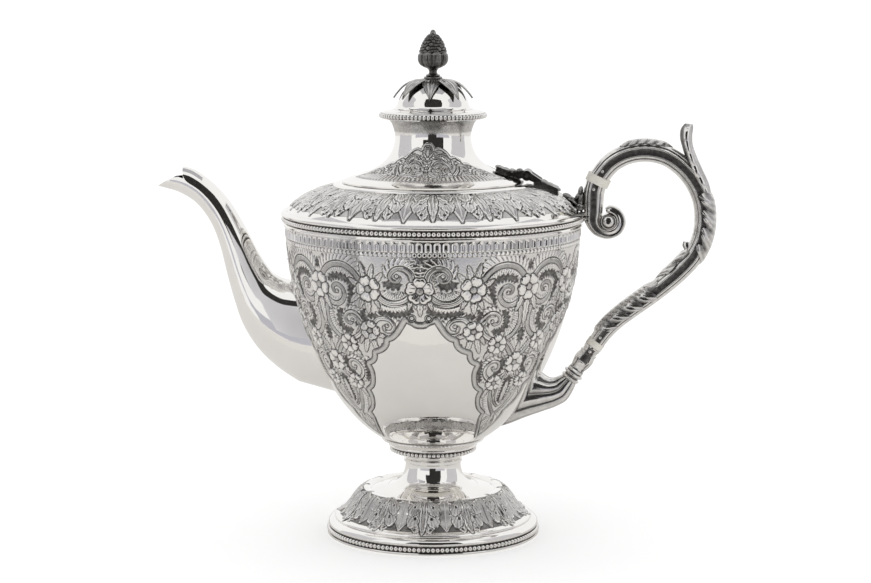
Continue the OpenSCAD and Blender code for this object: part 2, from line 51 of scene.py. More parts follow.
BOWL_R, BOWL_DEPTH, BOWL_CURVE_Z = 77.8, 119.6, 166.0
FIELD_TOP, FIELD_LOW = 158.6, 54.0      # the chased part of the bowl
SHIELD_RIBBON = 2.3

# ---------------------------------------------------------------- curves and profiles


def curve(points, step):
    """Smooth curve through the points, with a point about every step."""
    p = np.asarray(points, float)
    h = np.maximum(np.linalg.norm(np.diff(p, axis=0), axis=1), 1e-6)
    v = np.diff(p, axis=0) / h[:, None]
    m = np.empty_like(p)
    m[1:-1] = (v[1:] * h[:-1, None] + v[:-1] * h[1:, None]) / (h[1:] + h[:-1])[:, None]
    m[0] = v[0] if len(p) == 2 else 1.5 * v[0] - 0.5 * m[1]
    m[-1] = v[-1] if len(p) == 2 else 1.5 * v[-1] - 0.5 * m[-2]
    out = []
    for i, hi in enumerate(h):
        n = max(1, math.ceil(hi / step))
        t = (np.arange(n) / n)[:, None]
        out.append((1 + 2 * t) * (1 - t) ** 2 * p[i] + t * (1 - t) ** 2 * hi * m[i]
                   + t * t * (3 - 2 * t) * p[i + 1] + t * t * (t - 1) * hi * m[i + 1])
    return np.vstack(out + [p[-1:]])


def faired(points, corners, step=0.5, closed=True):
    """Outline with smooth runs between the corner points."""
    p = [tuple(q) for q in points]
    if closed:
        p.append(p[0])
    stops = sorted({0, len(p) - 1, *corners})
    runs = [curve(p[a:b + 1], step)[:-1] for a, b in zip(stops, stops[1:])]
    return np.vstack(runs if closed else runs + [p[-1:]])


def directions(line):
    t = np.gradient(line, axis=0)
    return t / np.linalg.norm(t, axis=1)[:, None]


def travelled(line):
    """Length along a line up to each of its points."""
    return np.concatenate([[0], np.cumsum(np.hypot(*np.diff(line, axis=0).T))])


def conformal(profile):
    """Distance down a profile in degrees of turn, so that forms drawn on it keep their shape."""
    r = profile[:, 0]
    steps = np.hypot(*np.diff(profile, axis=0).T)
    return np.degrees(np.concatenate([[0], np.cumsum(steps / ((r[1:] + r[:-1]) / 2))]))


def wall_inside(outer):
    """The same profile, which runs downwards, moved in by the silver's thickness."""
    t = directions(outer)
    inside = outer - WALL * np.stack([-t[:, 1], t[:, 0]], 1)
    inside[:, 0] = np.maximum(inside[:, 0], 0.05)
    return inside


def bowl_radius(z):
    return BOWL_R * (1 - (np.maximum(BOWL_CURVE_Z - z, 0) / BOWL_DEPTH) ** 1.66) ** (1 / 2.3)


def bowl_profile(z, gap=0.0):
    return np.stack([bowl_radius(z) + gap, z], 1)


def smoothstep(x, lo=0.0, hi=1.0):
    t = np.clip((x - lo) / (hi - lo), 0, 1)
    return t * t * (3 - 2 * t)


def bell(x, width):
    return np.exp(-(x / width) ** 2)


def wave(x):
    """Cosine from 0 to 1, with its crest at 0."""
    return 0.5 + 0.5 * np.cos(x)


def fold(angle, period):
    """Angle folded into half a period, mirrored."""
    return np.abs((angle + period / 2) % period - period / 2)


def around(cols):
    return np.arange(cols) * 2 * math.pi / cols


def front_angle(cols):
    return np.degrees(around(cols)) + 90


def blur(a, radius):
    """Three box blurs, close to a Gaussian of that radius in samples."""
    k = 2 * radius + 1
    for axis in (0, 1):
        pad = [(radius + 1, radius) if i == axis else (0, 0) for i in (0, 1)]
        for _ in range(3):
            c = np.cumsum(np.pad(a, pad, mode="edge").astype(np.float64), axis=axis)
            high = np.take(c, np.arange(k, c.shape[axis]), axis=axis)
            low = np.take(c, np.arange(0, c.shape[axis] - k), axis=axis)
            a = ((high - low) / k).astype(np.float32)
    return a


# ---------------------------------------------------------------- chasing: height maps


class Canvas:
    """Height map of a band round a piece. x is the angle in degrees and y runs down the profile
    on the same scale, so that a motif keeps its form at every radius. h is the height in mm and
    dark the oxide, to which some forms add painted shade."""

    def __init__(self, width, height, pitch):
        self.pitch = pitch
        self.nx, self.ny = int(width / pitch) + 2, int(height / pitch) + 2
        self.h = np.zeros((self.ny, self.nx), np.float32)
        self.dark = np.ones((self.ny, self.nx), np.float32)

    def window(self, x0, x1, y0, y1):
        """Slices of the fields between these limits, with the x and y of their samples."""
        i0, i1 = max(int(x0 / self.pitch), 0), min(int(x1 / self.pitch) + 2, self.nx)
        j0, j1 = max(int(y0 / self.pitch), 0), min(int(y1 / self.pitch) + 2, self.ny)
        i1, j1 = max(i1, i0), max(j1, j0)
        x, y = np.meshgrid(np.arange(i0, i1) * self.pitch, np.arange(j0, j1) * self.pitch)
        return (slice(j0, j1), slice(i0, i1)), x, y

    def about(self, c, r):
        """The window round a point, with x and y from it."""
        at, x, y = self.window(c[0] - r - 1, c[0] + r + 1, c[1] - r - 1, c[1] + r + 1)
        return at, x - c[0], y - c[1]

    def along(self, base, tip, width, bend=0.0):
        """The window of a form that runs from base to tip, with the share of the way, the distance
        to the side and the form's length."""
        base, tip = np.asarray(base, float), np.asarray(tip, float)
        length = math.hypot(*(tip - base))
        ax, ay = (tip - base) / length
        middle, reach = (base + tip) / 2, length / 2 + width
        at, x, y = self.about(middle, reach)
        x, y = x + middle[0] - base[0], y + middle[1] - base[1]
        u = (x * ax + y * ay) / length
        return at, u, y * ax - x * ay - bend * np.sin(math.pi * np.clip(u, 0, 1)), length

    def lay(self, at, inside, height, edge=0.35, groove=0.27, depth=0.30):
        """Lays a form over what is there, with a dark groove round it. inside is the distance
        within its outline."""
        body = height * smoothstep(inside, -0.02, edge)
        line = -depth * (1 - np.clip(np.abs(inside + groove * 0.5) / groove, 0, 1))
        under = np.where(inside > -groove * 1.5, np.minimum(self.h[at], line), self.h[at])
        self.h[at] = np.where(inside > 0, body, under)
        outline = 0.9 * bell(inside + groove * 0.45, groove * 0.75)
        self.dark[at] = np.maximum(np.where(inside > 0, 0, self.dark[at]), outline)

    def shade(self, at, inside, dark):
        """Oxide in the engraved lines of a form."""
        self.dark[at] = np.maximum(self.dark[at], np.where(inside > 0, dark, 0))

    def track(self, path, reach):
        """Signed distance from the path, positive on its right, and length along it."""
        lo, hi = path.min(0) - reach, path.max(0) + reach
        at, x, y = self.window(lo[0], hi[0], lo[1], hi[1])
        dist = np.full(x.shape, 1e3, np.float32)
        arc = np.zeros(x.shape, np.float32)
        side = np.ones(x.shape, np.float32)
        length = 0.0
        for a, b in zip(path[:-1], path[1:]):
            d = b - a
            seg = math.hypot(*d)
            if seg < 1e-6:
                continue
            low = (np.minimum(a, b) - reach) / self.pitch
            high = (np.maximum(a, b) + reach) / self.pitch
            s = tuple(slice(max(int(low[k]) - origin.start, 0), max(int(high[k]) + 2 - origin.start, 0))
                      for k, origin in ((1, at[0]), (0, at[1])))
            px, py = x[s] - a[0], y[s] - a[1]
            t = np.clip((px * d[0] + py * d[1]) / seg ** 2, 0, 1)
            r = np.hypot(px - t * d[0], py - t * d[1])
            near = r < dist[s]
            dist[s] = np.where(near, r, dist[s])
            arc[s] = np.where(near, length + t * seg, arc[s])
            side[s] = np.where(near, np.where(d[0] * py - d[1] * px >= 0, 1, -1), side[s])
            length += seg
        return at, dist * side, arc, length

    def ribbon(self, path, w0, w1, lines, eye, height=0.5):
        """A scroll's band from half width w0 to w1, with engraved lines, and a button at its end."""
        path = curve(path, 0.5)
        at, d, s, length = self.track(path, max(w0, w1) + 0.6)
        w = w0 + (w1 - w0) * s / length
        u = d / np.maximum(w, 1e-3)
        cut = sum(bell((u - k) * w, 0.17) for k in lines)
        self.lay(at, w - np.abs(d), height * (1 - 0.28 * u * u) - 0.30 * cut)
        self.shade(at, w - np.abs(d), 0.8 * np.clip(cut, 0, 1))
        if eye:
            self.boss(path[-1], w1 * 1.35, height + 0.12)

    def boss(self, c, r, height):
        at, dx, dy = self.about(c, r)
        d = np.hypot(dx, dy)
        self.lay(at, r - d, height * (1 - 0.4 * (d / r) ** 2), edge=0.3)

    def fringe(self, path, side, inner, reach, pitch, slant, ends, span=(0, 1)):
        """Leafy feathers along one side of a scroll, from inner out to reach. They shrink over the
        shares ends of the path, and grow only on its part span."""
        path = curve(path, 0.5)
        at, d, s, length = self.track(path, reach + max(inner, 0) + 0.6)
        t = (d * side - inner) / reach
        share = s / length
        grow = (smoothstep(share, span[0], span[0] + ends[0])
                * (1 - smoothstep(share, span[1] - ends[1], span[1])))
        live = (share > span[0]) & (share < span[1]) & (s > 1e-3) & (s < length - 1e-3)
        phase = s / pitch + slant * np.clip(t, 0, 1.4) ** 1.3
        c = 2 * (phase - np.floor(phase)) - 1           # -1 to 1 across a feather
        limit = (0.25 + 0.75 * np.sqrt(grow)) * (1 - 0.42 * np.abs(c) ** 1.6)
        inside = np.where(live & (t > -0.3), (limit - t) * reach * 0.8, -1)
        vein = bell((1 - np.abs(c)) * pitch, 0.22) * smoothstep(t, 0.05, 0.35)
        round_top = 0.62 + 0.38 * np.sqrt(np.clip(1 - c * c, 0, 1))
        self.lay(at, inside, 0.42 * round_top * (1 - 0.35 * np.clip(t, 0, 1)) - 0.42 * vein, edge=0.25)
        self.shade(at, inside, 0.85 * vein * (t > 0.02))

    def flower(self, c, r, petals=5, turn=0.0, height=0.8, heart=0.25):
        """Broad petals with a dent in each rim, fine rays and a hatched button."""
        at, dx, dy = self.about(c, r)
        d = np.hypot(dx, dy)
        out = d / r
        f = (np.degrees(np.arctan2(dx, -dy)) - turn) * petals / 360
        k = np.abs(2 * (f - np.floor(f + 0.5)))         # 0 in the middle of a petal, 1 between two
        edge = r * (1 - 0.26 * k ** 4 - 0.07 * bell(k, 0.2))
        split = bell((1 - k) * d * math.pi / petals, 0.2) * smoothstep(out, heart * 0.8, heart * 1.2)
        ray = np.sin(k * out * 16)
        rays = ray * smoothstep(out, heart, heart + 0.1) * (1 - smoothstep(out, 0.5, 0.72))
        cup = 0.55 + 0.45 * smoothstep(d / edge, heart, 0.82) - 0.25 * smoothstep(d / edge, 0.85, 1.0)
        self.lay(at, edge - d, height * cup - 0.6 * split * height + 0.05 * rays, groove=0.3)
        self.shade(at, edge - d, np.clip(0.8 * split + 0.28 * (out < 0.55) * (0.5 - 0.5 * ray), 0, 1))
        hatch = 0.12 * np.sin(dx * 7) * np.sin(dy * 7)
        core = height * 0.8 + hatch + 0.15 * (1 - (d / (r * heart)) ** 2)
        self.lay(at, r * heart - d, core, edge=0.15, groove=0.22)
        self.dark[at] = np.where(d < r * heart, 0.45, self.dark[at])

    def leaf(self, base, tip, width, teeth=4, height=0.5):
        """Serrated leaf with a mid rib and side veins."""
        at, u, v, length = self.along(base, tip, width)
        form = np.clip(u, 0, 1) ** 0.55 * np.clip(1 - u, 0, 1) ** 0.75 * 1.9
        w = width * form * (1 - 0.34 * ((u * teeth) % 1))
        inside = np.where((u > 0) & (u < 1), w - np.abs(v), -1)
        k = np.clip(np.abs(v) / width, 0, 1)
        veins = bell((((u * teeth - 1.1 * k + 0.5) % 1) - 0.5) * length / teeth, 0.15) * (k > 0.12)
        rib = bell(v, 0.13)
        body = height * (1 - 0.45 * k) - 0.17 * veins - 0.24 * rib * smoothstep(1 - u, 0, 0.2)
        self.lay(at, inside, body, edge=0.22)
        self.shade(at, inside, np.clip(0.45 * veins + 0.7 * rib, 0, 1) * smoothstep(1 - u, 0, 0.15))

    def lobe(self, base, tip, width, height, bend=0.0, point=0.9):
        """Lobe of an acanthus leaf, scalloped towards its end, with veins that fan out."""
        at, u, v, _ = self.along(base, tip, width, bend)
        end = np.sqrt(np.clip(1 - np.clip((u - 0.62) / 0.38, 0, 1) ** (2 - point), 0, 1))
        form = (0.42 + 0.58 * smoothstep(u, 0, 0.6)) * end
        notch = (1 - np.abs(np.sin(3.5 * math.pi * u ** 1.3))) ** 1.5 * smoothstep(u, 0.15, 0.4)
        inside = np.where((u > -0.05) & (u < 1), width * form * (1 - 0.24 * notch) - np.abs(v), -1)
        k = np.abs(v) / np.maximum(width * (0.35 + 0.65 * u), 1e-3)
        veins = sum(bell(np.abs(v) - f * width * (0.3 + 0.7 * u), 0.17) for f in (0.0, 0.55))
        body = height * (0.45 + 0.65 * np.clip(u, 0, 1)) * (1 - 0.5 * np.clip(k, 0, 1.1) ** 2)
        body -= 0.3 * veins * smoothstep(1 - u, 0.04, 0.2)
        self.lay(at, inside, body, edge=0.4, groove=0.3, depth=0.45)
        fade = smoothstep(1 - u, 0.1, 0.4) * smoothstep(u, 0.05, 0.2)
        self.shade(at, inside, 0.6 * np.clip(veins, 0, 1) * fade)

    def sample(self, field, x, y):
        """Bilinear value of a field at x, y."""
        fx = np.clip(x / self.pitch, 0, self.nx - 1.001)
        fy = np.clip(y / self.pitch, 0, self.ny - 1.001)
        i, j = fx.astype(np.int32), fy.astype(np.int32)
        a, b = (fx - i).astype(np.float32), (fy - j).astype(np.float32)
        return ((field[j, i] * (1 - a) + field[j, i + 1] * a) * (1 - b)
                + (field[j + 1, i] * (1 - a) + field[j + 1, i + 1] * a) * b)


def grain(c, seed, size=4):
    """A random value for each square of size by size samples of a canvas."""
    cells = np.random.default_rng(seed).random((c.ny // 4 + 2, c.nx // 4 + 2))
    j, i = np.mgrid[0:c.ny, 0:c.nx] // size
    return cells[j % cells.shape[0], i % cells.shape[1]]


# ---------------------------------------------------------------- the bowl's chasing

FIELD_Z = np.linspace(FIELD_TOP, FIELD_LOW, 700)
FIELD_Q = conformal(bowl_profile(FIELD_Z))

# Scrolls as (angle, height) pairs, from the middle of one shield to the middle between two
CREST = [(24.4, 146.6), (26.6, 150.4), (30.4, 153.4), (35, 154), (39, 152.2), (42.2, 148.4)]
CREST_VOLUTE = [(42.6, 137.6), (40, 134.2), (36.6, 132.9), (33.4, 134.6), (31.8, 138.2), (32.8, 142),
                (35.6, 143.2), (37.4, 141.6), (36.9, 139.6), (35.3, 139.6)]
MIDDLE = [(42.4, 131), (43, 126.5), (42.2, 121), (39.6, 116.8), (36.6, 114.9)]
MIDDLE_VOLUTE = [(30.6, 115.2), (26.8, 118), (24.9, 121.6), (25.1, 125.4), (27.4, 128.8), (30.6, 129.2),
                 (32.9, 127), (32.5, 124), (30.4, 123.4), (29.6, 125)]
LOWER = [(36.8, 112.4), (39.6, 109.2), (41.6, 106.2)]
LOWER_VOLUTE = [(33.2, 92.8), (30.4, 95.6), (29.8, 99), (31.6, 102.2), (34.6, 103), (36.8, 101.2),
                (36.6, 98.6), (34.6, 97.9), (33.7, 99.4)]
TAIL = [(36.4, 88), (36.6, 83.4), (38.6, 78.6), (42, 74.4), (45, 71.8)]
TAIL_INNER = [(39, 87.6), (39.6, 82), (41.6, 78.8), (45, 76.4)]
BASE = [(44.6, 70.8), (42, 67.2), (42.2, 63), (45, 58.5)]
SMALL = [(19.4, 124.4), (17.6, 126.4), (14.8, 127), (12, 125.6), (11, 122.6), (12.4, 120.2), (14.8, 120.4),
         (15.4, 122.4), (13.9, 123.2)]
PLUME = [(2.6, 146.8), (3.6, 150.8), (6.4, 153.2), (9.8, 152.4), (11.4, 149.4), (10.4, 146.8), (8.3, 146.6),
         (7.6, 148.4), (8.8, 149.3)]
SMILE = [(3.8, 138.6), (6.6, 135.9), (10.2, 134.9), (13.8, 136), (16.8, 139.2)]

# Far feathers first: path, side, inner, reach, pitch, slant, ends and, where it isn't all, span
FEATHERS = (
    (CREST, -1, 0.8, 4.4, 1.5, 1.1, (0.10, 0.10)),
    (CREST, 1, 0.8, 3.6, 1.3, 1.0, (0.08, 0.08)),
    ([(27.4, 145.6), (26.8, 140), (27.8, 134.6), (30.6, 131)], -1, 0.0, 1.9, 1.1, 0.6, (0.1, 0.1)),
    (CREST_VOLUTE, 1, 0.75, 2.5, 1.15, 0.7, (0.1, 0.1), (0.04, 0.60)),
    (CREST_VOLUTE, -1, 0.7, 1.9, 1.1, 0.8, (0.05, 0.05), (0.0, 0.3)),
    (MIDDLE, 1, 0.75, 3.3, 1.2, 1.0, (0.1, 0.15)),
    (MIDDLE, -1, 0.75, 1.9, 1.1, 0.7, (0.05, 0.1)),
    (MIDDLE_VOLUTE, -1, 0.75, 2.3, 1.15, 0.8, (0.08, 0.1), (0.0, 0.72)),
    (MIDDLE_VOLUTE, 1, 0.7, 1.2, 0.95, 0.5, (0.1, 0.1), (0.08, 0.7)),
    (LOWER, 1, 0.7, 2.4, 1.05, 0.8, (0.1, 0.1)),
    (LOWER, -1, 0.7, 1.8, 1.05, 0.8, (0.1, 0.1)),
    ([(25.9, 106), (26.4, 100), (26.4, 94), (28.6, 88.4)], 1, 0.0, 1.9, 1.1, 0.7, (0.1, 0.1)),
    (LOWER_VOLUTE, -1, 0.7, 2.5, 1.15, 0.9, (0.08, 0.12), (0.0, 0.76)),
    ([(38.4, 105.6), (40.4, 101), (40, 96), (37.6, 92.6)], -1, 0.0, 1.8, 1.05, 0.6, (0.1, 0.1)),
    (TAIL, 1, 0.8, 3.6, 1.25, 1.0, (0.05, 0.2), (0, 0.94)),
    (TAIL_INNER, -1, 0.6, 1.7, 1.0, 0.6, (0.05, 0.05)),
    ([(39.6, 92), (41.6, 94.6), (45, 96.4)], 1, 0.0, 1.8, 1.0, 0.5, (0.1, 0.05)),
    ([(42.4, 122), (42.3, 116), (43.6, 111)], -1, 0.0, 1.4, 1.0, 0.5, (0.1, 0.1)),
    (BASE, 1, 0.6, 3.4, 1.1, 0.8, (0.1, 0.1)),
    (BASE, -1, 0.6, 2.2, 1.0, 0.8, (0.1, 0.1)),
    (SMALL, 1, 0.65, 2.4, 1.1, 0.8, (0.08, 0.15), (0, 0.66)),
    (PLUME, -1, 0.8, 3.7, 1.35, 1.1, (0.1, 0.15), (0.0, 0.66)),
    (SMILE, -1, 0.9, 3.7, 1.2, 1.0, (0.12, 0.12)),
    ([(2.4, 135.4), (6.4, 132.4), (11, 131.4), (17.4, 133.4)], 1, -0.6, 2.2, 1.15, 0.7, (0.06, 0.06)),
    ([(8, 126.6), (9.2, 121.8), (11.6, 118.4)], 1, 0.0, 1.2, 0.95, 0.5, (0.2, 0.2)),
)

# Dark matted hollows: path, half width
CELLS = (
    ([(27.4, 141), (28.4, 144.6), (32, 147.2), (36.4, 147.2), (39.6, 144.6)], 1.5),
    ([(28.6, 144), (28.8, 138), (30.2, 133.2)], 1.3),
    ([(33.6, 130.6), (36, 127), (35.8, 122), (33, 119.4), (29.6, 120)], 1.6),
    ([(28.2, 121.6), (27.6, 125)], 0.7),
    ([(37.6, 105), (38.6, 100.6), (36.8, 96.4), (34.2, 95.4)], 1.5),
    ([(27.2, 104.4), (26.9, 98), (28.6, 91.4)], 1.0),
    ([(45, 120.4), (45.4, 112)], 2.0),
    ([(45, 94), (45, 86), (45, 79)], 3.1),
    ([(6.6, 145.2), (10, 144.2), (14.4, 146)], 1.7),
    ([(3, 134), (4.4, 130.6), (9, 129.2), (17, 130.4)], 1.2),
    ([(17.2, 128.6), (22.6, 127.6)], 1.2),
    ([(14.6, 113.8), (18, 112)], 0.8),
    ([(22.4, 131.8), (24.2, 129), (22.6, 124.6)], 0.9),
    ([(45, 156.4), (45, 150.6)], 1.0),
    ([(40.2, 62), (43, 57)], 0.9),
)

# The scrolls' bands: path, half widths, engraved lines, button at the end
RIBBONS = (
    (CREST, 1.0, 1.0, (-0.35, 0.15, 0.6), False), (CREST_VOLUTE, 1.1, 0.5, (0.3, -0.35), True),
    (MIDDLE, 1.0, 0.9, (-0.4, 0.3), False), (MIDDLE_VOLUTE, 0.95, 0.5, (0.25,), True),
    (LOWER, 0.85, 0.85, (-0.35, 0.35), False), (LOWER_VOLUTE, 0.9, 0.5, (0.25,), True),
    (TAIL, 0.95, 0.8, (-0.3, 0.35), False), (TAIL_INNER, 0.6, 0.5, (0.0,), False),
    (BASE, 0.75, 0.5, (0.0,), False), (SMALL, 0.8, 0.5, (0.25,), True),
    (PLUME, 0.95, 0.5, (0.3, -0.3), True), (SMILE, 1.1, 1.1, (-0.2, 0.55), False),
)
BOLD_LINE = [(3.6, 137.4), (6.8, 134.6), (10.6, 133.7), (14.6, 134.9), (17.6, 138)]

# base, tip, half width
LEAVES = (
    ((20.2, 145), (18.2, 155.2), 1.7), ((21.6, 145.6), (23.4, 156), 1.6), ((18.4, 144.4), (14.2, 151), 1.6),
    ((24, 143), (29, 147.2), 1.6), ((24, 140.4), (29.2, 134.4), 1.7), ((21, 138.8), (21.4, 129), 1.9),
    ((18.8, 139.4), (16, 132), 1.3), ((22.6, 139), (25.2, 131.4), 1.4), ((43, 138.6), (39.6, 129.4), 1.8),
    ((47, 138.6), (50.4, 129.4), 1.8), ((21.2, 117), (19.4, 107.8), 1.7), ((23.2, 117), (25.6, 107.8), 1.7),
    ((19.2, 118.6), (13.6, 116.8), 1.6), ((25, 118), (27.6, 112.4), 1.2), ((24.4, 122.4), (27.4, 126.6), 1.0),
    ((31, 110.6), (28, 104.8), 1.4), ((35.4, 109.4), (36.4, 104.6), 1.2), ((42.8, 98.8), (40.6, 92.6), 1.5),
    ((47.2, 98.8), (49.4, 92.6), 1.5), ((42.2, 103.6), (38.8, 105.8), 1.3), ((34.2, 88.8), (31.6, 82.4), 1.5),
    ((37.2, 88.4), (38.6, 82.6), 1.1), ((39, 93.4), (41.8, 96.8), 1.2), ((3, 138.4), (4.8, 131.6), 1.3),
    ((45, 138), (45, 121.6), 2.1), ((45, 105.5), (45, 113.4), 1.5), ((45, 91.5), (45, 78.8), 1.9),
    ((0, 138), (0, 128.4), 1.7), ((45, 73.6), (45, 62), 1.6),
)

# middle, radius, petals, turn
FLOWERS = (
    ((0, 141.6), 5.5, 5, 0), ((45, 142), 5.3, 5, 36), ((45, 101.6), 5.3, 5, 0), ((20.6, 142), 5.2, 5, 18),
    ((21.8, 120.2), 4.4, 5, 54), ((33.5, 112.3), 4.6, 6, 0), ((36.2, 91), 4.5, 6, 20),
)

# Boundary of the shield's plain field, from cusp to cusp
FRAME = (
    [(-1.2, 123), (0, 122.6), (2, 122.9), (4.3, 124.6), (5.6, 125.2)],
    [(5.6, 125.2), (7.2, 122), (9.4, 118.2), (12.2, 115.4), (13.6, 114.9)],
    [(13.6, 114.9), (14.2, 112.5), (16.4, 109.6), (20.1, 107.7)],
    [(20.1, 107.7), (20.5, 105.4), (22, 102.9), (24.5, 101.4)],
    [(24.5, 101.4), (23.7, 98.2), (24.1, 93.4), (26, 88.9), (29, 86.6)],
    [(29, 86.6), (28.4, 83.8), (29, 80.3), (31.2, 76.3), (35.4, 73.2)],
    [(35.4, 73.2), (35.1, 70.4), (36.4, 66.6), (39.2, 62.2), (45, 57)],
)


def on_bowl(*points):
    """(angle, height) pairs to canvas points."""
    p = np.asarray(points, float)
    return np.stack([p[:, 0], np.interp(-p[:, 1], -FIELD_Z, FIELD_Q)], 1)


def chase_bowl():
    """Scrolls, flowers and leaves round a plain shield, from the middle of a shield to 45 degrees."""
    c = Canvas(47, FIELD_Q[-1], 0.08)
    c.h += 0.07 * grain(c, 7)
    c.dark[:] = 0.16
    for path, *feathers in FEATHERS:
        c.fringe(on_bowl(*path), *feathers)
    matted_cells(c)
    for path, *band in RIBBONS:
        c.ribbon(on_bowl(*path), *band)
    bold_line(c)
    for base, tip, width in LEAVES:
        c.leaf(*on_bowl(base, tip), width)
    for middle, *flower in FLOWERS:
        c.flower(on_bowl(middle)[0], *flower)
    shield(c)
    return c


def matted_cells(c):
    """Dark hollows with serrated edges between the feathers."""
    matt, pits = grain(c, 7), grain(c, 7, 3)
    for path, width in CELLS:
        at, d, s, length = c.track(curve(on_bowl(*path), 0.5), width * 1.4 + 1.4)
        saw = np.abs(np.sin(s * math.pi / 1.75 + (d > 0) * 1.3)) ** 1.6
        half = 0.62 * width + (0.55 + 0.25 * width) * saw
        half = half * np.clip(np.minimum(s, length - s) / 1.4, 0.15, 1)
        deep = smoothstep(half - np.abs(d), -0.12, 0.12)
        c.dark[at] = np.maximum(c.dark[at] * (1 - deep), deep * (0.8 + 0.2 * matt[at]))
        c.h[at] = c.h[at] * (1 - deep) + (0.12 * pits[at] - 0.3) * deep


def bold_line(c):
    """The deep line under the smile."""
    at, d, s, length = c.track(curve(on_bowl(*BOLD_LINE), 0.5), 1.2)
    cut = bell(d, 0.28) * np.sqrt(np.clip(np.sin(math.pi * np.clip(s / length, 0, 1)), 0, 1))
    c.h[at] -= 0.5 * cut
    c.dark[at] = np.maximum(c.dark[at], cut)


def shield(c):
    """Plain polished field inside a plain moulded ribbon."""
    edge = np.vstack([curve(on_bowl(*run), 0.4)[:-1] for run in FRAME] + [on_bowl((45, 57), (47, 55.4))])
    at, d, _, _ = c.track(edge, 12)
    out, share = -d, -2 * d / SHIELD_RIBBON
    c.lay(at, np.minimum(out, SHIELD_RIBBON - out), 0.46 - 0.16 * (share - 1) ** 2, groove=0.3)
    # Painted shade on the ribbon: its tone grows darker towards both its edges.
    tone = 0.30 + 0.35 * np.abs(share - 0.9) ** 1.5
    c.dark[at] = np.where((out > 0.1) & (out < SHIELD_RIBBON - 0.1), tone, c.dark[at])
    for r, height in ((1.5, 0.7), (0.8, 0.85)):
        c.boss(on_bowl((3.4, 127.6))[0], r, height)
    y, x = np.mgrid[0:c.ny, 0:c.nx] * c.pitch
    limit = np.interp(y, edge[4:, 1], edge[4:, 0])
    inside, near = np.zeros_like(c.h, bool), np.zeros_like(c.h, bool)
    inside[at], near[at] = d > 0.02, np.abs(d) < 11
    field = inside & near | ~near & (x < limit) & (y > on_bowl((0, 122))[0, 1])
    c.h[field] = 0
    c.dark[field] = BURNISHED
    rim = np.zeros_like(c.h)
    rim[at] = bell(d - 0.1, 0.22)
    c.h -= 0.22 * rim
    c.dark = np.where(rim > 0.15, np.maximum(c.dark, 0.9 * rim), c.dark)


# ---------------------------------------------------------------- meshes


def write_mesh(name, parts, sharp=35):
    """One smooth-shaded mesh object from parts (points in mm, face arrays (n, k), and a field of oxide and
    painted shade, or None).
    """
    faces, base = [], 0
    for points, part_faces, _ in parts:
        faces += [np.asarray(f) + base for f in part_faces]
        base += len(points)
    loops = np.concatenate([f.ravel() for f in faces]).astype(np.int32)
    sizes = np.concatenate([np.full(len(f), f.shape[1], np.int32) for f in faces])
    points = np.vstack([p for p, _, _ in parts]).astype(np.float32) * MM
    mesh = bpy.data.meshes.new(name)
    mesh.vertices.add(len(points))
    mesh.vertices.foreach_set("co", points.ravel())
    mesh.loops.add(len(loops))
    mesh.loops.foreach_set("vertex_index", loops)
    mesh.polygons.add(len(sizes))
    mesh.polygons.foreach_set("loop_start", (np.cumsum(sizes) - sizes).astype(np.int32))
    mesh.polygons.foreach_set("loop_total", sizes)
    mesh.update(calc_edges=True)
    shade_smooth(mesh, sharp)
    if parts[0][2] is not None:
        oxide_and_shade = np.concatenate([np.ravel(dark) for _, _, dark in parts]).astype(np.float32)
        mesh.attributes.new("oxide_and_shade", "FLOAT", "POINT").data.foreach_set("value", oxide_and_shade)
    obj = bpy.data.objects.new(name, mesh)
    bpy.context.scene.collection.objects.link(obj)
    return obj


def shade_smooth(mesh, sharp):
    mesh.polygons.foreach_set("use_smooth", np.ones(len(mesh.polygons), bool))
    mesh.set_sharp_from_angle(angle=math.radians(sharp))


def dress(obj, material, body="pot", node=None):
    """Look of an object, what it rides on, and the CAD node that it stands for."""
    obj.data.materials.append(material)
    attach(obj, body)
    if node:
        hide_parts(node)


def grid_faces(rows, cols, wrap=False, base=0, flip=False):
    """Quads between rows of rings of cols points."""
    i, j = np.meshgrid(np.arange(rows if wrap else rows - 1), np.arange(cols), indexing="ij")
    i, j = i.ravel(), j.ravel()
    i2, j2 = (i + 1) % rows, (j + 1) % cols
    quads = np.stack([i * cols + j, i * cols + j2, i2 * cols + j2, i2 * cols + j], 1) + base
    return quads[:, ::-1] if flip else quads


def bridge(a, b, cols):
    """Quads from the ring that starts at point a to the ring that starts at b."""
    j = np.arange(cols)
    j2 = (j + 1) % cols
    return np.stack([a + j, a + j2, b + j2, b + j], 1)


def loft(rings, oxide_and_shade=None, flip=False):
    """Closed part from rings (n, k, 3), capped at both ends."""
    n, k = rings.shape[:2]
    first, last = np.arange(k)[None, :], np.arange((n - 1) * k, n * k)[None, :]
    if flip:
        faces = [grid_faces(n, k, flip=True), first, last[:, ::-1]]
    else:
        faces = [grid_faces(n, k), first[:, ::-1], last]
    return rings.reshape(-1, 3), faces, oxide_and_shade


def rings_at(stations, section):
    """Rings of a section at edge stations [upper x, upper z, lower x, lower z, half width]."""
    middle, half = (stations[:, :2] + stations[:, 2:4]) / 2, (stations[:, :2] - stations[:, 2:4]) / 2
    u, v = section.T
    x, z = middle[:, :1] + half[:, :1] * u, middle[:, 1:] + half[:, 1:] * u
    return np.stack([x, stations[:, 4:5] * v, z], -1)


def ellipse(cols):
    return np.stack([np.cos(around(cols)), np.sin(around(cols))], 1)


def polar(r, a, z):
    """Points at radius r, angle a and height z."""
    return np.stack([r * np.cos(a), r * np.sin(a), z + 0 * a], -1)


def turn(outline, cols):
    """Points and faces of a closed outline turned about Z, with its faces outwards."""
    x, y = outline.T
    if np.sum(x * np.roll(y, -1) - np.roll(x, -1) * y) <= 0:
        outline = outline[::-1]
    points = polar(outline[:, :1], around(cols), outline[:, 1:])
    return points.reshape(-1, 3), [grid_faces(len(outline), cols, wrap=True)]


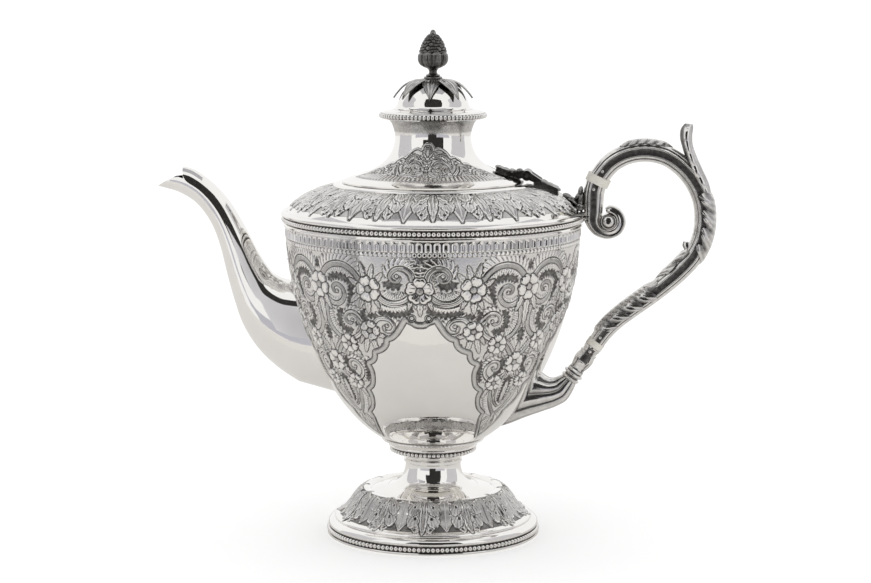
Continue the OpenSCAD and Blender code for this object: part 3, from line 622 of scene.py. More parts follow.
def turn_solid(line, cols):
    """The same for a line whose two ends lie on the axis."""
    points = polar(line[1:-1, :1], around(cols), line[1:-1, 1:]).reshape(-1, 3)
    top, last = len(points), len(points) - cols
    j = np.arange(cols)
    j2 = (j + 1) % cols
    faces = [grid_faces(len(line) - 2, cols), np.stack([np.full(cols, top), j2, j], 1),
             np.stack([np.full(cols, top + 1), last + j, last + j2], 1)]
    return np.vstack([points, [[0, 0, line[0, 1]], [0, 0, line[-1, 1]]]]), faces


def ball(cols):
    """Ball of radius 1."""
    t = np.linspace(0, math.pi, cols // 2 + 1)
    return turn_solid(np.stack([np.sin(t), np.cos(t)], 1), cols)


def turn_across(line, centre, cols):
    """Solid turned about Y through centre (x, z), from the half profile (radius, y) of its far side."""
    points, faces = turn_solid(np.vstack([line, (line * [1, -1])[-2::-1]]), cols)
    x, y, z = points.T
    return np.stack([x + centre[0], z, y + centre[1]], 1), [f[:, ::-1] for f in faces]


# ---------------------------------------------------------------- materials


class Nodes:
    """Short hand for building a node tree."""

    def __init__(self, name):
        self.mat = bpy.data.materials.new(name)
        self.mat.use_nodes = True
        self.tree = self.mat.node_tree
        self.bsdf = self.tree.nodes["Principled BSDF"]
        self.coords = self.add("ShaderNodeTexCoord").outputs["Object"]

    def add(self, kind, inputs=None, **props):
        node = self.tree.nodes.new(kind)
        for key, value in props.items():
            setattr(node, key, value)
        for key, value in (inputs or {}).items():
            self.link(value, node.inputs[key])
        return node

    def link(self, value, socket):
        if hasattr(value, "links"):
            self.tree.links.new(value, socket)
        else:
            socket.default_value = value

    def surface(self, colour, rough, normal):
        self.link(colour, self.bsdf.inputs["Base Color"])
        self.link(rough, self.bsdf.inputs["Roughness"])
        self.link(normal, self.bsdf.inputs["Normal"])

    def noise(self, scale, detail, rough=0.5, vector=None):
        return self.add("ShaderNodeTexNoise", {"Vector": vector or self.coords, "Scale": scale,
                                               "Detail": detail, "Roughness": rough}).outputs["Fac"]

    def span(self, value, lo, hi, to_lo, to_hi):
        return self.add("ShaderNodeMapRange", {"Value": value, "From Min": lo, "From Max": hi,
                                               "To Min": to_lo, "To Max": to_hi}).outputs["Result"]

    def math(self, op, a, b):
        return self.add("ShaderNodeMath", {0: a, 1: b}, operation=op).outputs[0]

    def mix(self, fac, a, b):
        return self.add("ShaderNodeMix", {0: fac, 6: a, 7: b}, data_type="RGBA").outputs[2]

    def bump(self, height, strength, distance, under=None):
        node = self.add("ShaderNodeBump", {"Height": height, "Strength": strength, "Distance": distance})
        if under:
            self.link(under, node.inputs["Normal"])
        return node.outputs["Normal"]


SILVER, SILVER_DULL = (0.90, 0.885, 0.86, 1), (0.86, 0.845, 0.82, 1)
# Dark of oxide and tarnish, also laid on as painted shade where a piece's dark field holds it.
OXIDE_AND_SHADE_COLOUR = (0.115, 0.11, 0.105, 1)
BONE_DARK, BONE_LIGHT = (0.60, 0.58, 0.52, 1), (0.68, 0.66, 0.60, 1)


def silver(name, rough, fine, pits=0.0, oxide_and_shade=False, tarnish=0.0):
    """Silver with faint polishing marks. Where the piece stores a field of oxide and painted shade, its
    hollows and the parts given painted shade are dark and dull, and below zero it is burnished. Tarnish
    darkens all of it in patches."""
    n = Nodes(name)
    colour = n.mix(n.span(n.noise(60, 4), 0.3, 0.7, 0, 1), SILVER, SILVER_DULL)
    if tarnish:
        patch = n.span(n.noise(320, 5, 0.65), 0.3, 0.7, tarnish - 0.15, tarnish + 0.15)
        colour = n.mix(patch, colour, OXIDE_AND_SHADE_COLOUR)
    marks = n.noise(900, 2)
    dull = n.span(n.noise(140, 5, 0.6), 0.3, 0.75, rough - 0.02, rough + 0.02)
    if oxide_and_shade:
        field = n.add("ShaderNodeAttribute", attribute_name="oxide_and_shade").outputs["Fac"]
        dark = n.math("MAXIMUM", field, 0.0)
        dark = n.math("MULTIPLY", dark, n.span(n.noise(500, 3), 0.3, 0.7, 0.85, 1.1))
        colour = n.mix(dark, colour, OXIDE_AND_SHADE_COLOUR)
        dull = n.math("ADD", dull, n.math("MULTIPLY", dark, 0.30))
        dull = n.math("MULTIPLY", dull, n.span(field, -0.4, -0.05, 0.15, 1.0))
        marks = n.math("ADD", marks, n.math("MULTIPLY", dark, n.noise(2600, 2)))
    normal = n.bump(marks, fine, 0.0002)
    if pits:
        normal = n.bump(n.noise(1500, 3, 0.7), pits, 0.0003, normal)
    n.surface(colour, dull, normal)
    n.bsdf.inputs["Metallic"].default_value = 1.0
    return n.mat


def ivory():
    """Bone of the insulators, with a fine grain."""
    n = Nodes("ivory")
    along = n.add("ShaderNodeMapping", {"Vector": n.coords, "Scale": (1, 1, 9)}).outputs[0]
    streaks = n.noise(260, 4, vector=along)
    colour = n.mix(n.span(streaks, 0.35, 0.65, 0, 1), BONE_DARK, BONE_LIGHT)
    n.surface(colour, n.span(streaks, 0.3, 0.7, 0.28, 0.4), n.bump(streaks, 0.05, 0.0002))
    n.bsdf.inputs["Subsurface Weight"].default_value = 0.15
    n.bsdf.inputs["Subsurface Radius"].default_value = (0.002, 0.0015, 0.001)
    return n.mat


POLISHED = silver("silver_polished", 0.055, 0.012)
MOULDED = silver("silver_moulded", 0.06, 0.015, oxide_and_shade=True)
CHASED = silver("silver_chased", 0.15, 0.04, oxide_and_shade=True)
CAST = silver("silver_cast", 0.13, 0.03, pits=0.02, oxide_and_shade=True, tarnish=0.18)
LEAF = silver("silver_leaf", 0.16, 0.04, pits=0.03, oxide_and_shade=True, tarnish=0.42)
DARK = silver("silver_tarnished", 0.26, 0.06, pits=0.08, oxide_and_shade=True, tarnish=0.72)
BLACK = silver("silver_black", 0.24, 0.05, pits=0.06, oxide_and_shade=True, tarnish=0.9)
INSIDE = silver("silver_inside", 0.3, 0.05, pits=0.03)
BONE = ivory()

# ---------------------------------------------------------------- relief over turned walls


def relief_shell(name, outer, inner, height, oxide_and_shade):
    """Closed shell: the outer profile carries the heights (rows by columns), the inner one is plain.
    Both profiles run downwards."""
    rows, cols = height.shape
    a, t = around(cols), directions(outer)
    skin = polar(outer[:, :1] - t[:, 1:] * height, a, outer[:, 1:] + t[:, :1] * height)
    inside = polar(inner[:, :1], a, inner[:, 1:])
    low, low_inside = (rows - 1) * cols, (rows + len(inner) - 1) * cols
    faces = [grid_faces(rows, cols, flip=True), grid_faces(len(inner), cols, base=rows * cols),
             bridge(0, rows * cols, cols), bridge(low_inside, low, cols)]
    points = np.vstack([skin.reshape(-1, 3), inside.reshape(-1, 3)])
    field = np.concatenate([oxide_and_shade.ravel(), np.zeros(len(inner) * cols)])
    return write_mesh(name, [(points, faces, field)], sharp=60)


def hollows(c, radius):
    """Oxide and painted shade where the surface lies lower than what is around it, and oxide where the ground
    is matted.
    """
    low = np.clip((blur(c.h, radius) - c.h) * 2.4, 0, 1) + np.clip(c.dark, 0, 1)
    return np.where(c.dark < -0.5, -0.6, np.clip(low, 0, 1)).astype(np.float32)


def drawn_shell(name, outer, inner, c, period, cols, lift, first=0.0, radius=7, unit=1.0):
    """Relief shell whose outside repeats a canvas, mirrored, every period of degrees from the angle
    first. unit is the number of degrees in a unit of the canvas."""
    x = np.tile(fold(front_angle(cols) - first, period) / unit, (len(outer), 1))
    y = np.repeat(conformal(outer)[:, None] / unit, cols, 1)
    return relief_shell(name, outer, inner, c.sample(c.h, x, y) + lift, c.sample(hollows(c, radius), x, y))


def bowl_chasing():
    """Chased skin over the raised wall, whose inside and strainer stay visible."""
    z = np.interp(np.arange(0, FIELD_Q[-1], 0.25), FIELD_Q, FIELD_Z)
    inner = bowl_profile(np.linspace(z[0], z[-1], 24), SKIN)
    skin = drawn_shell("bowl_chasing", bowl_profile(z), inner, chase_bowl(), 90, 1440, 0.34)
    dress(skin, CHASED)


def bowl_fluting():
    """Round-topped flutes over a row of discs, between the chasing and the rim."""
    heights = np.linspace(167.2, FIELD_TOP, 46)
    z, angle = heights[:, None], front_angle(2640)[None, :]
    across = np.radians(fold(angle, 360 / 110)) * 77.6              # mm from the middle of a flute
    arch = np.hypot(across, np.maximum(z - 164.9, 0)) - 1.45        # mm outside the arch's line
    arch = np.where(z < 161.7, np.maximum(arch, 161.7 - z), arch)
    slit = np.hypot(across, np.maximum(np.maximum(z - 164.7, 162.6 - z), 0)) - 0.5
    h = 0.10 + 0.45 * bell(arch + 0.35, 0.34) - 0.35 * (1 - smoothstep(slit, -0.15, 0.25))
    spandrel = 0.5 * smoothstep(arch, 0.1, 0.4) * (z < 166.4) * (z > 161.2)
    dark = 0.95 * (1 - smoothstep(slit, -0.1, 0.3)) + spandrel
    disc = np.hypot(np.radians(fold(angle, 360 / 192)) * 77.4, z - 160.1) - 0.98
    h = np.where(z < 161.3, 0.42 * (1 - smoothstep(disc, -0.2, 0.15)), h)
    dark = np.where(z < 161.3, 0.75 * smoothstep(disc, 0, 0.2) * (z > 158.95), dark)
    band = relief_shell("bowl_fluting", bowl_profile(heights), bowl_profile(heights[::9], SKIN), h + 0.25,
                        np.clip(dark, 0, 1))
    dress(band, MOULDED)


# ---------------------------------------------------------------- leaf bands of the shoulder and foot


def acanthus(c, y_of, lobes, tip, half_tip, eyes):
    """Acanthus leaf that hangs about x = 0: side lobes from the tip upwards, then the middle with its
    rib. A lobe is (start, offset, end, offset, half width), its start and end in mm down the profile."""
    for s0, x0, s1, x1, w in lobes:
        for side in (-1, 1):
            c.lobe((side * x0, y_of(s0)), (side * x1, y_of(s1)), w, 0.75, bend=side * -1.5, point=0.85)
    root = lobes[-1][0]
    c.lobe((0, y_of(root - 3)), (0, y_of(tip)), half_tip, 0.7875)
    for s, x, r in eyes:
        at, gx, gy = c.window(x - 2, x + 2, y_of(s) - 2, y_of(s) + 2)
        hole = 1 - smoothstep(np.hypot(gx - x, (gy - y_of(s)) * 0.75), r * 0.6, r * 1.3)
        c.h[at] = c.h[at] * (1 - hole) - 0.45 * hole
        c.dark[at] = np.maximum(c.dark[at], hole)
    at, gx, gy = c.window(0, 3, y_of(root - 3), y_of(tip))
    t = (gy - y_of(root)) / (y_of(tip) - y_of(root))
    rib = 1.15 - 0.85 * np.clip(t, 0, 1)
    c.h[at] -= 0.4 * bell(gx - rib, 0.2) * (t < 0.93)
    c.h[at] += 0.16 * (gx < rib - 0.1) * (t < 0.9)


def lancet(c, x, y0, y1, width):
    """Plain pointed leaf with a raised border and a vein, between two acanthus leaves."""
    at, gx, gy = c.window(x - width - 1, x + 1, y0 - 1, y1 + 1)
    t = np.clip((gy - y0) / (y1 - y0), 0, 1)
    belly = 0.62 + 0.38 * np.sin(math.pi * np.clip(t * 1.1, 0, 1))
    half = width * belly * np.clip((1 - t) * 3.6, 0, 1) ** 0.75
    inside = np.where((gy > y0) & (gy < y1), half - np.abs(gx - x), -1)
    vein = bell(gx - x, 0.25)
    c.lay(at, inside, 0.55 * (0.30 + 0.75 * bell(inside - 0.4, 0.38) + 0.5 * vein), edge=0.25, groove=0.3)
    c.dark[at] = np.where(inside > 0.9, 0.3 * (1 - vein), c.dark[at])


def leaf_band(node, profile, period, first, leaf, plain, ground, tone, cols, lift):
    """Relief shell with acanthus and plain leaves in turn. leaf is (lobes, tip, half width at the tip,
    eyes) and plain (start, end, half width); ground is the oxide between them, and tone the painted shade on
    their bodies."""
    q, down = conformal(profile), travelled(profile)
    lobes, tip = leaf[:2]
    start, end, width = plain

    def y_of(s):
        return float(np.interp(s, down, q))

    c = Canvas(period / 2 + 1, q[-1], 0.05)
    y = np.arange(c.ny)[:, None] * c.pitch + np.zeros((1, c.nx))
    leafy = (y > y_of(min(lobes[-1][0], start))) & (y < y_of(max(tip, end) - 2.5))
    c.dark[:] = np.where(leafy, ground, 0)
    c.h[:] = np.where(leafy, 0, 0.25)
    lancet(c, period / 2, y_of(start), y_of(end), width)
    acanthus(c, y_of, *leaf)
    bare = ~leafy & (c.h == 0.25)
    # Painted shade on the leaves' bodies, kept off a strip beside the dark outlines and off the raised parts,
    # which stay bright as painted highlights.
    border = smoothstep(blur(c.dark > 0.6, 13), 0.07, 0.2)
    raised = smoothstep(c.h - blur(c.h, 6), 0.02, 0.14)
    c.dark = np.maximum(c.dark, tone * (1 - border) * (1 - raised))
    c.dark[bare] = BURNISHED
    inner = wall_inside(profile)
    band = drawn_shell(node + "_chased", profile, inner, c, period, cols, lift, first, radius=6)
    dress(band, CHASED, node=node)


SHOULDER = faired([(47, 187.9), (52.8, 187.7), (57, 186.8), (61.6, 185.4), (66.2, 183.5), (70.2, 181.2),
                   (73.6, 178.6), (76.2, 175.8), (77.5, 173.8), (77.5, 170)], [8], 0.22, closed=False)
SHOULDER_LEAF = (((19.5, 0.8, 30.8, 4.4, 2.8), (10, 0.9, 26.0, 7.4, 3.8), (1.5, 1.1, 16.4, 7.4, 3.9)),
                 32, 2.5, ((18.4, 5.6, 0.7), (27.4, 4.6, 0.6), (8.4, 5.4, 0.6)))
FOOT = faired([(24, 26.2), (33.2, 23.9), (34, 24.6), (36.2, 25), (38.8, 24.2), (41.2, 22), (43.2, 19),
               (45.2, 16), (47.6, 13.2), (50, 11.4), (52, 10.6), (52.6, 10), (52.6, 9.4)], [1, 2, 10], 0.22,
              closed=False)
FOOT_LEAF = (((25.5, 0.9, 33.9, 4.7, 3.2), (19.5, 1.1, 30.6, 8.6, 4.8), (14, 1.3, 23.4, 9.0, 4.9)),
             35.4, 3.0, ((24.6, 5.6, 0.9), (31.2, 5.0, 0.8), (18.2, 6.6, 0.8)))

# ---------------------------------------------------------------- the lid's skirt

SKIRT = faired([(23.4, 222.8), (22.3, 221.6), (21.1, 219), (20.3, 215.5), (20.4, 211.5), (21.3, 207.8),
                (22.9, 204.4), (25, 201.7), (28, 199.1), (31.6, 196.9), (35.6, 195), (39.6, 193.6),
                (43.2, 192.6), (46, 191.7), (48.4, 190.75)], [], 0.2, closed=False)
WAIST_Z = 211.5
FINE = 2.4          # degrees in a unit of the lid's canvas

# On the lid a point is (angle from the panel's middle, mm below the waist)
PANEL = (
    [(-1, 0.2), (3, 0.0), (6.6, 1.0), (9, 3.2)],
    [(9, 3.2), (14, 2.4), (21, 3.2), (27, 5.2), (30.5, 7.6)],
    [(30.5, 7.6), (36, 7.2), (41, 8.6), (45.5, 11.6)],
    [(45.5, 11.6), (51, 11.8), (56, 13.6), (60, 16)],
    [(60, 16), (65, 17), (69, 20), (72, 24.5), (72.5, 29)],
)
LID_SCROLLS = (
    ([(3.5, 12.6), (9, 9.4), (16, 8.8), (22.5, 11), (26, 15), (24, 19), (19.5, 19.4), (17.2, 16.4),
      (19.6, 14.4)], 1.5, 0.8, True),
    ([(4, 18.4), (9, 21.4), (16, 22.3), (24, 21.8)], 1.2, 0.8, False),
    ([(27, 20.6), (33, 16.4), (37, 12.6), (43, 13.6), (46, 17), (43.6, 20.2), (40, 19), (40.8, 16.8)],
     1.3, 0.7, True),
    ([(47, 20.8), (52, 17.6), (57, 17.4), (60.6, 20), (58.6, 22.6), (55.4, 21.4)], 1.1, 0.6, True),
    ([(28, 9.8), (24, 7.6), (18, 6.2), (13, 6.6), (10.6, 8.2)], 1.0, 0.7, True),
)
LID_LEAVES = (
    ((0, 9.5), (0, 2.6), 3.0), ((1.5, 8), (7, 4.6), 1.8), ((0, 12), (5.4, 9.6), 1.8),
    ((31, 13), (31, 8.6), 1.8), ((6, 15), (14, 13.4), 2.2), ((5.6, 16.2), (13.6, 17.4), 2.2),
    ((49, 16), (49, 13.2), 1.8), ((32, 21.6), (38, 21.4), 1.7), ((0, 19.4), (0, 24.6), 2.4),
    ((62, 20), (66, 21.4), 1.8), ((63, 23), (68, 25.5), 1.8),
)


def lid_panel():
    """Scrolls round a rosette, over rays that end in dots, inside a scalloped border."""
    q, down = conformal(SKIRT) / FINE, travelled(SKIRT)
    waist = float(np.interp(-WAIST_Z, -SKIRT[:, 1], down))
    c = Canvas(91 / FINE, q[-1], 0.05)

    def at(*points):
        p = np.asarray(points, float)
        return np.stack([p[:, 0] / FINE, np.interp(p[:, 1] + waist, down, q)], 1)

    edge = np.vstack([curve(at(*run), 0.6)[:-1] for run in PANEL])
    y, x = np.mgrid[0:c.ny, 0:c.nx] * c.pitch
    top, low = np.interp(x, edge[:, 0], edge[:, 1], right=1e3), at((0, 29.4))[0, 1]
    below, matt = np.interp(y, q, down) - waist, grain(c, 5)
    panel = (y > top) & (y < low)
    c.dark[:] = np.where(panel, 0.30, BURNISHED)
    c.h[:] = np.where(panel, 0.08 * matt, 0)
    ray = np.abs(np.sin(x * FINE * math.pi / 3.4))
    rays = panel & (below > 22.5) & (below < 28.2)
    c.h[rays] = (0.34 * ray ** 1.5)[rays]
    c.dark[rays] = (0.65 * (1 - ray) ** 1.5)[rays]
    dots = np.hypot(fold(x * FINE, 3.4), (below - 28.9) * 1.35) < 0.95
    c.h[panel & dots] = 0.3
    for path, w0, w1, eye in LID_SCROLLS:
        c.fringe(at(*path), -1, w0 * 0.5, 2.0, 1.05, 0.8, (0.1, 0.2), (0, 0.8))
        c.fringe(at(*path), 1, w0 * 0.5, 1.3, 1.0, 0.8, (0.1, 0.2), (0, 0.6))
        c.ribbon(at(*path), w0 * 0.55, w1 * 0.5, (0.1,), eye)
    for base, tip, width in LID_LEAVES:
        c.leaf(*at(base, tip), width * 0.55, teeth=3)
    c.flower(at((0, 15))[0], 2.5, petals=8, heart=0.34)
    where, d, along, _ = c.track(edge, 3)
    rope = 0.45 - 0.12 * np.abs(np.sin(along * math.pi / 0.7))
    c.lay(where, np.minimum(d + 0.1, 0.95 - d), rope, edge=0.25)
    c.dark[(y < top - 0.35) | (y > low + 0.6) & (c.dark > 0)] = BURNISHED
    # Painted reflection of the flange's underside and beads: a dark band on the neck under the flange,
    # mottled like tarnish.
    neck = below < -4.5
    c.dark[neck] = (0.55 * smoothstep(-below, 4.5, 6) * (0.4 + 0.9 * matt))[neck]
    return c


def lid_skirt():
    skirt = drawn_shell("lid_skirt_chased", SKIRT, wall_inside(SKIRT), lid_panel(), 180, 1500, 0.0, first=-2,
                        unit=FINE)
    dress(skirt, CHASED, body="lid", node="lid_skirt")


# ---------------------------------------------------------------- turned mouldings, walls and beads

# node, body, wall behind the beads darkened by oxide and painted shade (radius, low, high), outline, corners
MOULDINGS = (
    ("shoulder_lip", "pot", None,
     [(47, 187.9), (52.8, 187.7), (53, 188.5), (52.4, 189.3), (51.4, 189.6), (47.6, 189.6), (47, 189.2)],
     (0, 1, 5, 6)),
    ("rim_moulding", "pot", (78.24, 169.3, 172.2),
     [(77.85, 166.6), (78.8, 166.8), (79.4, 167.4), (79.4, 168.2), (78.8, 169), (78.24, 169.3),
      (78.24, 172.2), (79.6, 172.4), (80.5, 172.9), (80.8, 173.6), (80.2, 174.5), (79.3, 175.1),
      (78.2, 175.1), (77.55, 174.4), (77.55, 170.1), (77.85, 170)], (0, 5, 6, 7, 12, 13, 14, 15)),
    ("collar", "pot", (21.4, 45, 47.4),
     [(15.4, 43.2), (18.6, 43.6), (20.8, 44.4), (21.4, 45), (21.4, 47.4), (23, 47.6), (23.8, 48.2),
      (23.8, 49), (23.2, 49.6), (22.8, 50), (23.6, 50.3), (24.6, 50.7), (25.6, 51.2), (26.05, 51.8),
      (25.9, 52.15), (20.6, 50.1), (17, 49.1), (15.4, 48.5)], (0, 3, 4, 5, 9, 14, 17)),
    ("foot_rim", "pot", (55.02, 2.2, 5.2),
     [(51.7, 9.35), (52.6, 9.35), (53.6, 9.2), (55, 8.6), (56.1, 7.6), (56.5, 6.4), (56.3, 5.6),
      (55.02, 5.2), (55.02, 2.2), (56.9, 2), (57, 1.6), (57, 0.3), (56.7, 0), (53.8, 0), (53.8, 5),
      (53, 7.6)], (0, 1, 7, 8, 9, 10, 11, 12, 13, 14, 15)),
    ("lid_bezel", "lid", None, [(45.1, 185.4), (46, 185.4), (46, 190.7), (45.1, 191.05)], (0, 1, 2, 3)),
    ("lid_flange", "lid", (27.1, 224, 226.4),
     [(22.6, 223.61), (23.43, 222.85), (24, 222.9), (25.4, 223.1), (27.2, 223.5), (27.1, 224),
      (27.1, 226.4), (26.6, 227), (23.6, 227.8), (20.4, 228.6), (19.4, 228.6)], (0, 1, 4, 5, 6, 9, 10)),
)
STEM = [(24, 26.25), (21.4, 27.0), (19.4, 28), (17.6, 29.6), (16.2, 31.8), (15.3, 34.6), (14.8, 38),
        (14.9, 39), (15.6, 39.4), (15.7, 40.8), (15.0, 41.4), (15.3, 42.6), (15.35, 43.4), (15.35, 47.5)]
DOME = [(21.2, 228.62), (20.2, 229.1), (19.3, 230.1), (18.8, 231.4), (18.4, 232.9), (17.7, 234.6),
        (16.7, 236.4), (15.3, 238.2), (13.2, 240), (10.4, 241.5), (7, 242.5), (3, 242.95), (1.62, 243)]

# node, body, radius and height of the row, radius of a bead, its tallness, count
BEADING = (
    ("rim_beading", "pot", 79.4, 170.8, 1.18, 1, 204),
    ("foot_beading", "pot", 56.2, 3.6, 1.2, 1.05, 144),
    ("lid_beading", "lid", 27.75, 225.25, 0.92, 1.42, 80),
    ("collar_beading", "pot", 22.4, 46.2, 1.02, 1, 60),
)


def moulding(node, body, wall, outline, corners):
    points, faces = turn(faired(outline, corners, 0.3), 360)
    dark = np.zeros(len(points))
    if wall:
        r, z = np.hypot(points[:, 0], points[:, 1]), points[:, 2]
        # The wall behind the beads gets oxide and painted shade, dark between the beads.
        dark[(np.abs(r - wall[0]) < 0.1) & (z > wall[1] - 0.1) & (z < wall[2] + 0.1)] = 1
    dress(write_mesh(node + "_turned", [(points, faces, dark)]), MOULDED, body=body, node=node)


def spun_wall(node, line, corners, body="pot"):
    """Thin wall whose outside is the line."""
    outside = faired(line, corners, 0.4, closed=False)[::-1]
    wall = turn(np.vstack([outside, wall_inside(outside)[::-1]]), 256)
    dress(write_mesh(node + "_spun", [(*wall, None)]), POLISHED, body=body, node=node)


def beading(node, body, r, z, bead, tall, count):
    points, faces = ball(18)
    row = [(points * [bead, bead, bead * tall] + [r * math.cos(a), r * math.sin(a), z], faces, None)
           for a in around(count)]
    dress(write_mesh(node + "_beads", row), POLISHED, body=body, node=node)


def milled_wire():
    """Wire round the collar, with slanting notches."""
    a, b = around(960), around(18)[:, None]
    thick = 0.7 * (1 + 0.10 * np.cos(80 * a + 2 * b))
    points = polar(float(bowl_radius(52.5)) + 0.4 + thick * np.cos(b), a, 51.9 + thick * np.sin(b))
    wire = [(points.reshape(-1, 3), [grid_faces(18, 960, wrap=True)], None)]
    dress(write_mesh("collar_wire_milled", wire), POLISHED, node="collar_wire")


# ---------------------------------------------------------------- spout

# Edge stations [upper x, upper z, lower x, lower z, half width]
SPOUT = [[-78.8, 136.8, -72.0, 81.4, 17.8], [-81.0, 137.4, -85.0, 90.2, 16.8],
         [-84.0, 138.8, -95.0, 100.2, 15.4], [-87.0, 141.0, -102.3, 112.0, 13.6],
         [-90.0, 145.0, -107.2, 126.0, 11.9], [-93.4, 150.4, -110.6, 138.6, 10.6],
         [-98.6, 160.4, -114.2, 153.6, 9.3], [-103.8, 170.0, -117.2, 162.6, 8.4],
         [-109.1, 178.4, -120.4, 169.0, 7.7], [-114.4, 184.7, -124.4, 174.6, 7.2],
         [-119.8, 189.7, -128.4, 178.6, 6.9], [-125.1, 193.6, -132.4, 181.2, 6.7],
         [-130.4, 196.2, -137.6, 183.7, 6.3], [-138.0, 197.0, -142.6, 185.1, 5.2],
         [-146.4, 191.6, -147.8, 186.4, 2.2]]
MOUTH = [(-133.9, 206), (-133.9, 196), (-133.0, 190.8), (-136, 191.8), (-139, 191.4), (-142.5, 189.8),
         (-149.5, 185.6), (-156, 190), (-156, 206)]
SPOUT_COLS = 96


def outwards(obj):
    """Faces of a closed mesh turned outwards."""
    bm = bmesh.new()
    bm.from_mesh(obj.data)
    bmesh.ops.recalc_face_normals(bm, faces=bm.faces)
    bm.to_mesh(obj.data)
    bm.free()


def spout_rings(stations, inset):
    """Rings of the neck, led by its seat on the bowl."""
    section = ellipse(SPOUT_COLS)
    rings = rings_at(stations, section)
    y, z = (18.4 - inset) * section[:, 1], 106.1 + (30.3 - inset) * section[:, 0]
    seat = np.stack([-np.sqrt((bowl_radius(z) + 0.05) ** 2 - y * y), y, z], 1)
    return np.concatenate([[seat, (seat + rings[0]) / 2], rings])


def spout():
    """Hollow swan neck, with the beak's mouth cut through it."""
    outside = curve(SPOUT, 1.2)
    across = outside[:, :2] - outside[:, 2:4]
    across /= np.linalg.norm(across, axis=1)[:, None]
    inside = outside - np.hstack([across, -across, np.ones((len(outside), 1))])
    rings = np.array([spout_rings(outside, 0), spout_rings(inside, 1)])
    n = rings.shape[1]
    start, end = n * SPOUT_COLS, (n - 1) * SPOUT_COLS
    faces = [grid_faces(n, SPOUT_COLS), grid_faces(n, SPOUT_COLS, base=start, flip=True),
             bridge(start, 0, SPOUT_COLS), bridge(end, start + end, SPOUT_COLS)]
    neck = write_mesh("spout_neck", [(rings.reshape(-1, 3), faces, None)])
    outwards(neck)
    cutter = write_mesh("mouth_cutter", [loft(np.array([[(x, y, z) for x, z in MOUTH] for y in (-15, 15)]))])
    outwards(cutter)
    cut = neck.modifiers.new("mouth", "BOOLEAN")
    cut.object = cutter
    cut.operation = "DIFFERENCE"
    cut.solver = "EXACT"
    evaluated = neck.evaluated_get(bpy.context.evaluated_depsgraph_get())
    mesh = bpy.data.meshes.new_from_object(evaluated)
    neck.modifiers.clear()
    neck.data = mesh
    shade_smooth(mesh, 35)
    bpy.data.objects.remove(cutter)
    dress(neck, POLISHED, node="spout")


# ---------------------------------------------------------------- finial and calyx

CUP = faired([(6.0, 258.4), (7.0, 258.3), (7.5, 257.2), (7.8, 255.4), (7.6, 253.4), (6.6, 251.7),
              (4.7, 250.3), (2.9, 249.5), (2.15, 248.5), (2.1, 247.5), (2.5, 246.8), (3.6, 246.4),
              (3.9, 246), (3.5, 245.7), (4.7, 245.3), (4.9, 244.7), (4.6, 244.15), (1.5, 244.15)],
              [0, 1, 10, 11, 12, 13, 14, 16], 0.22, closed=False)
CONE = faired([(1.0, 268.3), (1.7, 267.8), (2.8, 266.9), (4.0, 265.4), (5.1, 263.6), (6.0, 261.6),
               (6.6, 259.7), (6.9, 258.2), (6.7, 257.6), (2, 257.5)], [0, 8], 0.16, closed=False)
CONE_COLS, SCALES_ROUND, SCALE_ROWS = 288, 13, 9.5
TIPS = ((1.38, 268.6), (1.75, 267.6))       # radius and height of the balls at the cone's tip

CALYX_ARC = curve([(2.2, 243.9), (6, 243.85), (9.5, 243.45), (12.8, 242.3), (15.6, 240.5), (17.9, 238.2),
                   (19.7, 236), (20.9, 234.2)], 0.25)
CALYX_HALF = curve([(2.2, 1.0), (6, 2.6), (9.5, 4.1), (12.4, 4.5), (15.2, 3.7), (18, 2.0), (20.0, 0.8),
                    (20.9, 0.12)], 0.25)
CALYX_DISC = faired([(1.0, 244.1), (4.6, 244.1), (5.4, 243.8), (5.2, 243.2), (1.0, 243.1)], [0, 1, 4], 0.4)


def leafy_cup():
    """Cup of eight leaves under the cone."""
    a = around(CONE_COLS)
    petal = fold(np.degrees(a) + 90, 45)[None, :] / 22.5       # 0 between two leaves, 1 in the middle of one
    r, z = CUP[:, :1], CUP[:, 1:]
    on_cup = smoothstep(z, 250.4, 251.6) * smoothstep(257.6 - z, 0, 0.8)
    split, ribs = bell(petal, 0.24), wave(petal * math.pi * 5)
    rings = polar(r + on_cup * (0.25 * petal - 0.75 * split + 0.16 * ribs), a,
                  z - 0.9 * split * smoothstep(z, 256, 258.4))
    dark = on_cup * (split + 0.4 * (1 - ribs)) + 0.8 * smoothstep(2.6 - r, 0, 0.4)
    return loft(rings, np.clip(dark, 0, 1), flip=True)


def pine_cone():
    """Cone with rows of pitted scales."""
    a = around(CONE_COLS)[None, :]
    down, (r, z) = travelled(CONE)[:, None], CONE.T[:, :, None]
    v = down / down[-1] * SCALE_ROWS + 0.22 * np.sin(3 * a) + 0.16 * np.sin(7 * a + down)
    row = np.floor(v)
    u = a / (2 * math.pi) * SCALES_ROUND + 0.5 * (row % 2)
    du, dv = 2 * (u - np.floor(u) - 0.5), 2 * (v - row - 0.5)
    scale = np.sqrt(np.clip(1 - (0.95 * du) ** 2 - (0.85 * dv + 0.15) ** 2, 0, 1))
    live = smoothstep(z, 257.5, 258.2) * smoothstep(268.1 - z, 0, 0.8)
    pit = bell(np.hypot(du, dv - 0.1), 0.3)
    rings = polar(r - 0.6 + live * (1.15 * scale - 0.3 * pit), a, z)
    return loft(rings, np.clip(live * (1 - scale) * 1.2 + 0.5 * pit, 0, 1), flip=True)


def finial():
    points, faces = ball(32)
    tips = [(points * r + [0, 0, z], faces, np.zeros(len(points))) for r, z in TIPS]
    cone = write_mesh("finial_cone", [leafy_cup(), pine_cone(), *tips], sharp=60)
    dress(cone, BLACK, body="lid", node="finial")


